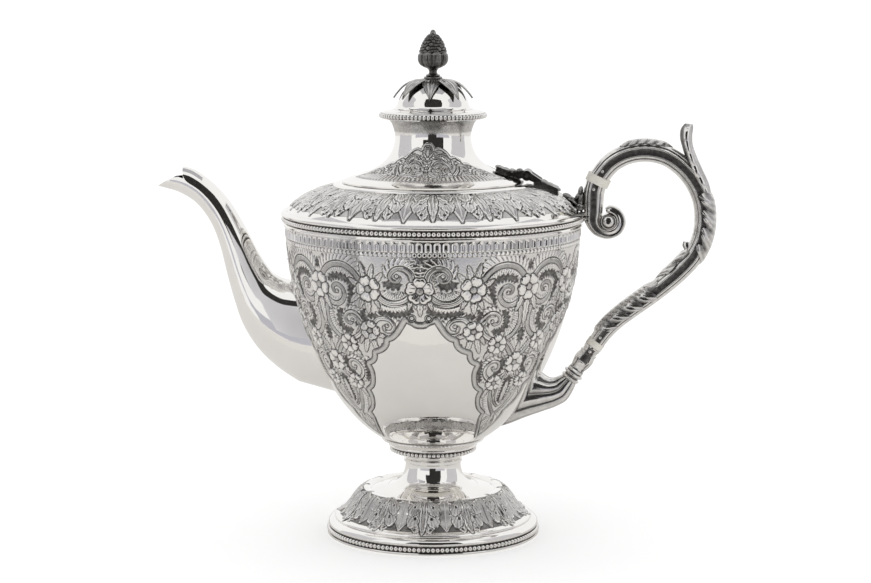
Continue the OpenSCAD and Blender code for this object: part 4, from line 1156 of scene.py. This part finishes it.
def calyx():
    """Eight pointed leaves that stand off the dome, with a ridge down the middle, round a disc."""
    t = directions(CALYX_ARC)
    half = np.interp(CALYX_ARC[:, 0], *CALYX_HALF.T)[:, None]
    u = np.linspace(-1, 1, 33)[None, :]
    w = np.abs(u)
    top = 0.55 * (1 - w ** 0.8) + 0.35 * smoothstep(w, 0.72, 0.95)
    top = top - 0.25 * bell(u, 0.09) - 0.12 * wave(w * 14)
    engraved = 0.55 * (np.abs(w - 0.62) < 0.16) + 0.7 * bell(u, 0.1)
    sides, tones = [], []
    # The tops carry oxide in their engraved lines; the undersides are dark all over as painted shadow.
    for order, out, tone in ((1, top, engraved), (-1, 0.8 * top - 0.55, np.ones_like(u))):
        r, z = CALYX_ARC[:, :1] - t[:, 1:] * out, CALYX_ARC[:, 1:] + t[:, :1] * out
        sides.append(np.stack([r, half * u, z], -1)[:, ::order])
        tones.append((tone + 0 * half)[:, ::order])
    (r, w, z), tones = np.moveaxis(np.concatenate(sides, 1), -1, 0), np.concatenate(tones, 1)
    parts = []
    for g in np.radians(np.arange(8) * 45 - 90):
        leaf = np.stack([r * math.cos(g) - w * math.sin(g), r * math.sin(g) + w * math.cos(g), z], -1)
        parts.append(loft(leaf, tones, flip=True))
    points, faces = turn(CALYX_DISC, 64)
    parts.append((points, faces, np.full(len(points), 0.5)))
    dress(write_mesh("calyx_leaves", parts, sharp=50), LEAF, body="lid", node="calyx")


# ---------------------------------------------------------------- handle

# Half of the reeded section: out from the middle of the handle, to the side
REED = [(1, 0), (0.985, 0.22), (0.95, 0.42), (0.88, 0.58), (0.80, 0.68), (0.72, 0.76), (0.65, 0.78),
        (0.61, 0.72), (0.57, 0.84), (0.50, 0.93), (0.43, 0.98), (0.37, 0.97), (0.31, 0.80), (0.14, 0.77),
        (0, 0.765), (-0.13, 0.77), (-0.28, 0.80), (-0.34, 0.95), (-0.40, 0.96), (-0.48, 0.91), (-0.56, 0.83),
        (-0.64, 0.69), (-0.70, 0.72), (-0.80, 0.60), (-0.90, 0.42), (-0.97, 0.2), (-1, 0)]
HALF_SECTION = faired(REED, (7, 12, 16, 21), 0.04, closed=False)
SECTION = np.vstack([HALF_SECTION, (HALF_SECTION * [1, -1])[-2:0:-1]])

# Middles of the insulators in the XZ plane, and the directions of their axes
LOWER_C, UPPER_C = np.array([86.6, 104.0]), np.array([87.3, 191.5])
LOWER_D, UPPER_D = np.array([0.58, 0.815]), np.array([0.43, 0.903])
LOWER_UNIT, UPPER_UNIT = LOWER_D / np.hypot(*LOWER_D), UPPER_D / np.hypot(*UPPER_D)

# x, z, half depth, half width
HANDLE = curve([[*(LOWER_C + 1.8 * LOWER_D), 4.5, 4.0], [91.0, 110.2, 4.7, 4.1], [96.8, 116.4, 4.9, 4.3],
                [104.4, 122.6, 5.1, 4.5], [113.6, 129.4, 5.2, 4.7], [122.4, 136.4, 5.3, 4.8],
                [130.6, 143.8, 5.4, 4.9], [137.4, 151.6, 5.4, 4.9], [141.8, 160.6, 5.4, 4.9],
                [143.4, 170.6, 5.4, 4.9], [142.4, 180.6, 5.4, 4.9], [138.4, 190.2, 5.4, 4.9],
                [131.6, 198.6, 5.4, 4.9], [122.6, 204.6, 5.4, 4.9], [112.0, 206.6, 5.4, 4.9],
                [101.6, 204.8, 5.4, 4.9], [94.0, 200.4, 5.4, 4.9], [*(UPPER_C + 2.3 * UPPER_D), 5.4, 4.9]],
                0.6)
TANGENT = directions(HANDLE[:, :2])
TANGENT[0], TANGENT[-1] = LOWER_UNIT, -UPPER_UNIT
OUTWARD = np.stack([TANGENT[:, 1], -TANGENT[:, 0]], 1)

# start, end, side, lobes, rise, spread, hook, taper
WRAPPED_LEAVES = (
    ((136, 150), (141.3, 184.5), 1, 4.0, 1.3, 104, 3.6, (0.12, 0.12)),          # back acanthus
    ((124.4, 203.8), (100.4, 204.4), 1, 6.0, 2.0, 46, 1.2, (0.2, 0.2)),         # crest
    ((121, 135.4), (137.6, 152), -1, 1.6, 1.6, 56, 2.0, (0.3, 0.1)),            # inner sprig
    ((89.6, 108.4), (119, 134), -1, 4.4, 1.5, 122, 4.4, (0.06, 0.14)),          # lower acanthus
)
# Edge stations, as for the spout
THUMB = [[147.2, 182.0, 143.2, 180.0, 3.4], [145.4, 190.2, 139.8, 187.6, 4.4],
         [141.8, 198.0, 135.6, 195.0, 5.0], [138.6, 205.0, 133.2, 202.6, 5.3],
         [136.6, 211.4, 130.8, 210.0, 5.2], [136.4, 215.8, 129.8, 214.6, 4.8],
         [136.8, 219.2, 130.2, 218.6, 3.8], [136.4, 221.2, 132.2, 221.4, 1.6]]
SPRIG = [[121, 139.4, 119.8, 136.6, 2.2], [127.2, 144.4, 129.0, 141.0, 2.6],
         [131.6, 149.6, 134.4, 147.0, 2.8], [133.0, 154.6, 136.6, 153.4, 2.6],
         [131.9, 157.6, 137.2, 157.4, 2.2], [132.4, 159.4, 137.0, 158.9, 1.4]]


def reed_oxide():
    """Oxide in the section's flute and its two grooves."""
    u, v = SECTION[:, 0], np.abs(SECTION[:, 1])
    flute = smoothstep(u, -0.33, -0.27) * (1 - smoothstep(u, 0.28, 0.36)) * (v < 0.93)
    return np.clip(0.95 * flute + 0.8 * bell(u - 0.61, 0.035) + 0.8 * bell(u + 0.65, 0.035), 0, 1)


def reeded_scroll():
    x, z, deep, wide = HANDLE.T[:, :, None]
    u, v = SECTION.T
    rings = np.stack([x + OUTWARD[:, :1] * deep * u, wide * v, z + OUTWARD[:, 1:] * deep * u], -1)
    return loft(rings, np.tile(reed_oxide(), len(rings)))


def nearest(point):
    """Number of the handle's station that lies nearest to the point."""
    return int(np.argmin(np.hypot(*(HANDLE[:, :2] - point).T)))


def wrapped_leaf(start, end, side, lobes, rise, spread, hook, taper):
    """Acanthus leaf cast over the handle's back (side 1) or its inside (-1), from one point of its
    line to another. Its lobes hook towards the end, and it is spread degrees wide to each side."""
    at, stations = np.linspace(nearest(start), nearest(end), 150), np.arange(len(HANDLE))
    x, z, deep, wide = [np.interp(at, stations, column)[:, None] for column in HANDLE.T]
    nx, nz = [np.interp(at, stations, column)[:, None] * side for column in OUTWARD.T]
    tx, tz = directions(np.hstack([x, z])).T[:, :, None]
    s, u = np.linspace(0, 1, 150)[:, None], np.linspace(-1, 1, 41)[None, :]
    w = np.abs(u)
    beat = np.abs(np.sin(math.pi * lobes * s)) ** 0.55
    swell = smoothstep(s, 0, taper[0]) ** 0.6 * smoothstep(1 - s, 0, taper[1]) ** 0.6
    edge = np.radians(spread) * (0.22 + 0.78 * swell) * (0.66 + 0.34 * beat)
    slant = np.abs(np.sin(math.pi * (lobes * s + 0.35 * (1 - w)))) ** 0.55
    gap = smoothstep(w, 0.25, 0.75) * (1 - slant)
    veins = (1 - wave(6 * math.pi * (lobes * s + 0.5 * (1 - w)))) * smoothstep(w, 0.06, 0.3)
    h = rise * (0.25 + 0.75 * swell) * (1 - 0.5 * gap) * (1 - 0.30 * w ** 2) + 0.5 * w ** 4 * beat
    h = h - 0.22 * veins - 0.35 * bell(u, 0.07)
    shade = np.clip(1.2 * gap + 0.32 * veins + 0.6 * bell(u, 0.06), 0, 1)
    hooked = hook * beat * w ** 2.2
    rings, dark = [], []
    for order, lift, tone in ((1, h, shade), (-1, -1.2 + 0 * h, np.ones_like(h))):
        up, across = (deep * 0.92 + lift) * np.cos(edge * u), (wide + lift) * np.sin(edge * u)
        ring = np.stack([x + nx * up + tx * hooked, across, z + nz * up + tz * hooked], -1)
        rings.append(ring[:, ::order])
        dark.append(tone[:, ::order])
    return loft(np.concatenate(rings, 1), np.concatenate(dark, 1), flip=side > 0)


def sprig():
    """Sprig with a rolled tip, inside the lower bend."""
    e = ellipse(72)
    rings = rings_at(curve(SPRIG, 0.4), e)
    return loft(rings, np.tile(0.8 * bell(np.abs(e[:, 1]) - 0.5, 0.15), len(rings)))


def thumb_leaf():
    """Cupped tongue for the thumb, with a rolled tip and grooves down its back."""
    e = ellipse(72)
    rings = rings_at(curve(THUMB, 0.4), e)
    rings[:, :, 1] *= 1 + 0.10 * np.abs(np.sin(np.linspace(0, 6.5 * math.pi, len(rings))))[:, None]
    grooves = 0.8 * bell(np.abs(e[:, 1]) - 0.55, 0.12) + 0.7 * (e[:, 0] < -0.5)
    return loft(rings, np.tile(np.clip(grooves, 0, 1), len(rings)))


def handle():
    parts = [reeded_scroll(), *[wrapped_leaf(*leaf) for leaf in WRAPPED_LEAVES], sprig(), thumb_leaf()]
    dress(write_mesh("handle_scroll", parts), CAST, node="handle")


# ---------------------------------------------------------------- sockets, bracket, knop and mount

EYE = np.array([93, 169.8])                 # middle of the upper socket's volute, (x, z)
HUB = faired([(0.02, 5.5), (1.6, 5.4), (2.6, 4.9), (3.1, 4.3), (3.3, 4.2), (3.6, 4.5), (4.0, 4.4), (4.1, 3.8),
              (4.1, 0)], [4, 6, 8], 0.2, closed=False)
STALK = [[81.2, 191.8, 91.4, 187.0, 4.9], [79.9, 186.0, 90.7, 184.4, 4.9], [79.8, 180.5, 90.3, 180.0, 4.9],
         [80.0, 175.2, 90.0, 175.0, 4.8]]
# The volute's turns: angle, outer and inner radius, half width
VOLUTE = ((180, 12.8, 3.6, 4.7), (225, 10.5, 3.6, 4.6), (270, 9.5, 3.6, 4.5), (315, 9.4, 3.6, 4.4),
          (360, 9.2, 3.7, 4.3), (405, 8.9, 3.9, 4.2), (450, 8.3, 4.2, 3.6), (464, 7.4, 4.6, 2.6))

SOCKET = [(0.3, 0), (4.3, 0), (4.6, 0.8), (4.1, 1.5), (4.0, 2.2), (4.4, 4), (5.0, 6.3), (5.2, 8.2),
          (5.0, 9.8), (4.5, 11.4), (4.8, 11.9), (4.8, 12.9), (4.2, 13.3), (4.3, 14.6), (4.6, 15.2),
          (4.6, 16.4), (4.2, 16.6), (0.3, 16.6)]
KNOP = [(0.3, -5.2), (4.2, -5.2), (4.9, -4.7), (5.2, -4.0), (4.6, -3.3), (3.9, -3.0), (3.9, -2.5),
        (4.8, -2.2), (5.5, -1.5), (5.4, -0.9), (4.4, -0.5), (4.0, -0.3), (4.0, 0), (0.3, 0)]
SOCKET_BASE = LOWER_C - 18.4 * LOWER_UNIT
HORN_TOP = SOCKET_BASE - 5.2 * LOWER_UNIT
HORN_SIDE = 4.4 * LOWER_UNIT[::-1] * [-1, 1]
HORN = [[*(HORN_TOP + HORN_SIDE), *(HORN_TOP - HORN_SIDE), 4.4], [66.2, 86.0, 74.4, 77.4, 5.0],
        [65.0, 85.6, 71.6, 73.2, 5.8], [63.2, 85.6, 66.4, 70.0, 6.8], [61.0, 86.6, 58.6, 67.0, 7.8],
        [58.0, 88.8, 49.0, 63.4, 8.5], [54.0, 90.4, 40.0, 59.6, 8.9], [49.0, 91.0, 34.0, 58.0, 9.0]]

# Cast leaves from knots (x, z, along, across, half width, tilt)
BRACKET_KNOTS = (
    (71.2, 182.8, 2.6, 1.5, 3.6, -25), (74.6, 180.2, 3.6, 1.9, 4.4, -36), (77.8, 177.4, 3.0, 2.6, 4.8, -10),
    (78.4, 181.4, 4.2, 2.0, 4.8, 85), (78.2, 185.6, 2.6, 1.5, 4.0, 80), (76.6, 182.8, 2.2, 1.3, 4.2, 60),
    (72.6, 181.6, 2.0, 1.6, 4.6, -30),
)
LID_KNOTS = (
    (35.2, 197.6, 2.4, 1.3, 4.8, -20), (38.6, 196.6, 2.4, 1.2, 5.4, -16), (41.8, 195.9, 2.2, 1.3, 4.4, 0),
    (45.8, 196.2, 1.8, 1.2, 2.6, 8),
)
BODY_KNOTS = (
    (55.6, 190.8, 1.7, 1.2, 6.2, -10), (59, 190.2, 2.4, 1.3, 5.6, -22), (62.4, 188.6, 2.4, 1.2, 5.0, -25),
    (65.6, 186.9, 2.4, 1.1, 3.6, -28),
)
# name, middle, direction, distance of a pin from the middle, half lengths
PINS = (("upper_pins", UPPER_C, UPPER_UNIT, 5.2, (4.25, 4.25)),
        ("lower_pins", LOWER_C, LOWER_UNIT, 4.6, (3.75, 4.35)))


def volute_scroll():
    """The stalk rolls round the eye, and its reeds run out into a plain rounded band."""
    stations = [*STALK]
    for angle, outer, inner, width in VOLUTE:
        ray = np.array([math.cos(math.radians(angle)), math.sin(math.radians(angle))])
        stations.append([*(EYE + outer * ray), *(EYE + inner * ray), width])
    stations = curve(stations, 0.4)
    u, v = SECTION.T
    rounded = 0.96 * np.sqrt(np.clip(1 - u ** 4, 0, 1)) * (1 - 0.10 * bell(u - 0.2, 0.4))
    fade = smoothstep(np.linspace(0, 1, len(stations)), 0.44, 0.62)[:, None]
    reeded, bare = rings_at(stations, SECTION), rings_at(stations, np.stack([u, np.sign(v) * rounded], 1))
    rings = reeded * (1 - fade[:, :, None]) + bare * fade[:, :, None]
    return loft(rings, reed_oxide() * (1 - fade) + fade * 0.7 * bell(u - 0.62, 0.07))


def upper_socket():
    points, faces = turn_across(HUB, EYE, 64)
    off_axis = np.hypot(points[:, 0] - EYE[0], points[:, 2] - EYE[1])
    parts = [volute_scroll(), (points, faces, bell(off_axis - 3.3, 0.25))]
    dress(write_mesh("upper_socket_volute", parts), CAST, node="upper_socket")


def knots(name, specs, seed, body="pot", node=None):
    """Cast knots of leaf, grooved along their length."""
    rng = np.random.default_rng(seed)
    parts = []
    for x, z, along, across, wide, tilt in specs:
        p, faces = ball(40)
        low = 1 - wave(np.arctan2(p[:, 1], p[:, 0]) * 5 + rng.random() * 6)
        p = p * (1 - 0.10 * low)[:, None]
        c, s = math.cos(math.radians(tilt)), math.sin(math.radians(tilt))
        u, v = p[:, 2] * along, p[:, 0] * across
        points = np.stack([x + u * c - v * s, p[:, 1] * wide, z + u * s + v * c], 1)
        parts.append((points, faces, 0.7 * low ** 2))
    dress(write_mesh(name, parts), DARK, body=body, node=node)


def on_lower_axis(points):
    """Turns points so that +Z runs up the axis of the lower socket."""
    x, y, z = points.T
    dx, dz = LOWER_UNIT
    return np.stack([SOCKET_BASE[0] + x * dz + z * dx, y, SOCKET_BASE[1] - x * dx + z * dz], 1)


def bud(angle):
    """Grooved bud that cups the socket."""
    p, faces = ball(48)
    low = 1 - wave(np.arctan2(p[:, 1], p[:, 0]) * 5)
    t = p[:, 2]
    p = p * (1 - 0.14 * low)[:, None] * [1.5, 2.5, 3.1]
    p[:, :2] *= (0.75 + 0.35 * t)[:, None]
    x, y = 4.1 + p[:, 0] + 0.9 * t ** 2 * (t > 0), p[:, 1]
    c, s = math.cos(angle), math.sin(angle)
    points = on_lower_axis(np.stack([x * c - y * s, x * s + y * c, p[:, 2] + 5.2], 1))
    return points, faces, np.clip(0.9 * low ** 1.5 + 0.5 * (t < -0.5), 0, 1)


def lower_socket():
    """Socket with a flute down each side and four cupping buds."""
    p, faces = turn(faired(SOCKET, (0, 1, 2, 3, 9, 10, 11, 12, 14, 15, 16, 17), 0.2), 160)
    z, face = p[:, 2], np.abs(np.abs(np.degrees(np.arctan2(p[:, 1], p[:, 0]))) - 90)
    flute = (1 - smoothstep(face, 26, 34)) * smoothstep(z, 6.5, 7.5) * (1 - smoothstep(z, 15.2, 15.8))
    p[:, :2] *= (1 - 0.13 * flute - 0.06 * bell(face - 52, 5) * (flute < 0.5))[:, None]
    parts = [(on_lower_axis(p), faces, np.clip(0.95 * flute + 0.9 * bell(z - 1.7, 0.35), 0, 1))]
    parts += [bud(math.radians(45 + 90 * k)) for k in range(4)]
    dress(write_mesh("lower_socket_buds", parts), CAST, node="lower_socket")


def lower_knop():
    p, faces = turn(faired(KNOP, (0, 1, 4, 5, 6, 10, 12, 13), 0.2), 160)
    dark = np.clip(0.95 * bell(p[:, 2] + 2.75, 0.35) + 0.9 * bell(p[:, 2] + 0.25, 0.3), 0, 1)
    knop = write_mesh("lower_knop_turned", [(on_lower_axis(p), faces, dark)])
    dress(knop, CAST, node="lower_knop")


def lower_mount():
    """Spreading horn with nine flutes."""
    e = ellipse(144)
    ridge = np.abs(np.sin(np.arctan2(e[:, 1], e[:, 0]) * 4.5)) ** 0.7
    rings = rings_at(curve(HORN, 0.5), e * (0.86 + 0.14 * ridge)[:, None])
    horn = write_mesh("lower_mount_horn", [loft(rings, np.tile(0.75 * (1 - ridge), len(rings)))])
    dress(horn, CAST, node="lower_mount")


def cross_pins(node, middle, direction, pitch, halves):
    """Two pins with domed ends."""
    parts = []
    for side, half in zip((1, -1), halves):
        line = curve([(0.01, half), (0.5, half - 0.08), (0.85, half - 0.35), (0.9, half - 0.8), (0.9, 0)],
                     0.2)
        parts.append((*turn_across(line, middle + side * pitch * direction, 24), None))
    dress(write_mesh(node + "_domed", parts), INSIDE, node=node)


def cad_materials():
    """Materials of the CAD nodes that no piece stands for."""
    for node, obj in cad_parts.items():
        if "insulator" in node:
            material = BONE
        elif node == "bowl":
            material = INSIDE
        elif node in ("hinge_pin", "finial_nut", "upper_pins", "lower_pins"):
            material = POLISHED
        else:
            material = BLACK
        obj.data.materials.clear()
        obj.data.materials.append(material)


# ---------------------------------------------------------------- the pot

bowl_chasing()
bowl_fluting()
leaf_band("shoulder", SHOULDER, period=22.5, first=5, leaf=SHOULDER_LEAF, plain=(4, 33, 4.1), ground=0.45,
          tone=0.26, cols=1536, lift=0.1)
leaf_band("foot", FOOT, period=30, first=-1.5, leaf=FOOT_LEAF, plain=(14.5, 33, 5.2), ground=0.85,
          tone=0.5, cols=1440, lift=0.05)
lid_skirt()
for spec in MOULDINGS:
    moulding(*spec)
spun_wall("stem", STEM, [7, 8, 9, 10, 12])
spun_wall("lid_dome", DOME, [], body="lid")
for spec in BEADING:
    beading(*spec)
milled_wire()
spout()
finial()
calyx()
handle()
upper_socket()
knots("upper_bracket_leaf", BRACKET_KNOTS, 3, node="upper_bracket")
lower_socket()
lower_knop()
lower_mount()
knots("lid_hinge_leaf", LID_KNOTS, 7, body="lid")
knots("body_hinge_leaf", BODY_KNOTS, 7)
for spec in PINS:
    cross_pins(*spec)
cad_materials()

# ---------------------------------------------------------------- camera, light, stage (metres)

scene = bpy.context.scene
camera = bpy.data.objects.new("camera", bpy.data.cameras.new("camera"))
camera.location = (0.1077, -1.2161, 0.3041)
camera.rotation_euler = (math.radians(81.931), 0, math.radians(5))
camera.data.lens = 95.485
camera.data.sensor_width = 36
scene.collection.objects.link(camera)
scene.camera = camera
scene.view_settings.view_transform = "Standard"


def plain(name, colour):
    n = Nodes(name)
    n.bsdf.inputs["Base Color"].default_value = (*colour, 1)
    n.bsdf.inputs["Roughness"].default_value = 0.9
    n.bsdf.inputs["Specular IOR Level"].default_value = 0.1
    return n


def plane(name, size, location, rotation, material):
    w, h = size[0] / 2, size[1] / 2
    mesh = bpy.data.meshes.new(name)
    mesh.from_pydata([(-w, -h, 0), (w, -h, 0), (w, h, 0), (-w, h, 0)], [], [(0, 1, 2, 3)])
    mesh.materials.append(material)
    obj = bpy.data.objects.new(name, mesh)
    obj.location = location
    obj.rotation_euler = [math.radians(v) for v in rotation]
    scene.collection.objects.link(obj)
    return obj


def reflected(name, size, location, rotation, colour):
    """A card that only the silver sees."""
    card = plane(name, size, location, rotation, plain(name, colour).mat)
    for kind in ("camera", "diffuse", "shadow", "transmission", "volume_scatter"):
        setattr(card, "visible_" + kind, False)


def paper_floor():
    """Pale floor with a faint light of its own."""
    n = plain("floor_paper", (0.95, 0.95, 0.95))
    glow = n.add("ShaderNodeEmission")
    glow.inputs["Color"].default_value = (1, 1, 1, 1)
    glow.inputs["Strength"].default_value = 0.16
    both = n.add("ShaderNodeAddShader", {0: n.bsdf.outputs[0], 1: glow.outputs[0]})
    n.link(both.outputs[0], n.tree.nodes["Material Output"].inputs["Surface"])
    plane("floor", (40, 40), (0, 12, 0), (0, 0, 0), n.mat).visible_glossy = False


paper_floor()
BLACK_CARD, LOW_FILL, PANEL_GREY = (0.03, 0.028, 0.027), (0.52, 0.52, 0.57), (0.60, 0.59, 0.615)
reflected("table", (3, 2.18), (0, 0.91, 0.001), (0, 0, 0), (0.80, 0.785, 0.765))
reflected("cloth", (3, 0.46), (0, -0.40, -0.06), (15.3, 0, 0), (0.74, 0.725, 0.70))
reflected("dark_card", (0.28, 1.02), (0.034, -0.62, 0.39), (90, 0, 0), BLACK_CARD)
for side, x, width, low in (("left", -0.18, 0.2, 0.2), ("right", 0.31, 0.28, 0.09)):
    reflected("dark_card_" + side, (width, 0.9 - low), (x, -0.62, (0.9 + low) / 2), (90, 0, 0), BLACK_CARD)
    reflected("low_fill_" + side, (0.7, 0.21), (x * 1.9 - 0.05, -0.64, -0.015), (90, 0, 0), LOW_FILL)
reflected("spout_fill", (0.075, 0.08), (-0.078, -0.078, 0.137), (90, 0, 0), (0.84, 0.84, 0.88))
reflected("ceiling", (1.1, 0.9), (0, 0.12, 1.35), (180, 0, 0), (0.42, 0.42, 0.44))
for side, sign in (("left", -1), ("right", 1)):
    reflected("side_panel_" + side, (0.9, 1.1), (sign * 0.95, -0.05, 0.5), (90, 0, sign * 90), PANEL_GREY)

world = bpy.data.worlds.new("studio")
scene.world = world
world.use_nodes = True
world.node_tree.nodes["Background"].inputs["Color"].default_value = (1, 1, 1, 1)
world.node_tree.nodes["Background"].inputs["Strength"].default_value = 1.0
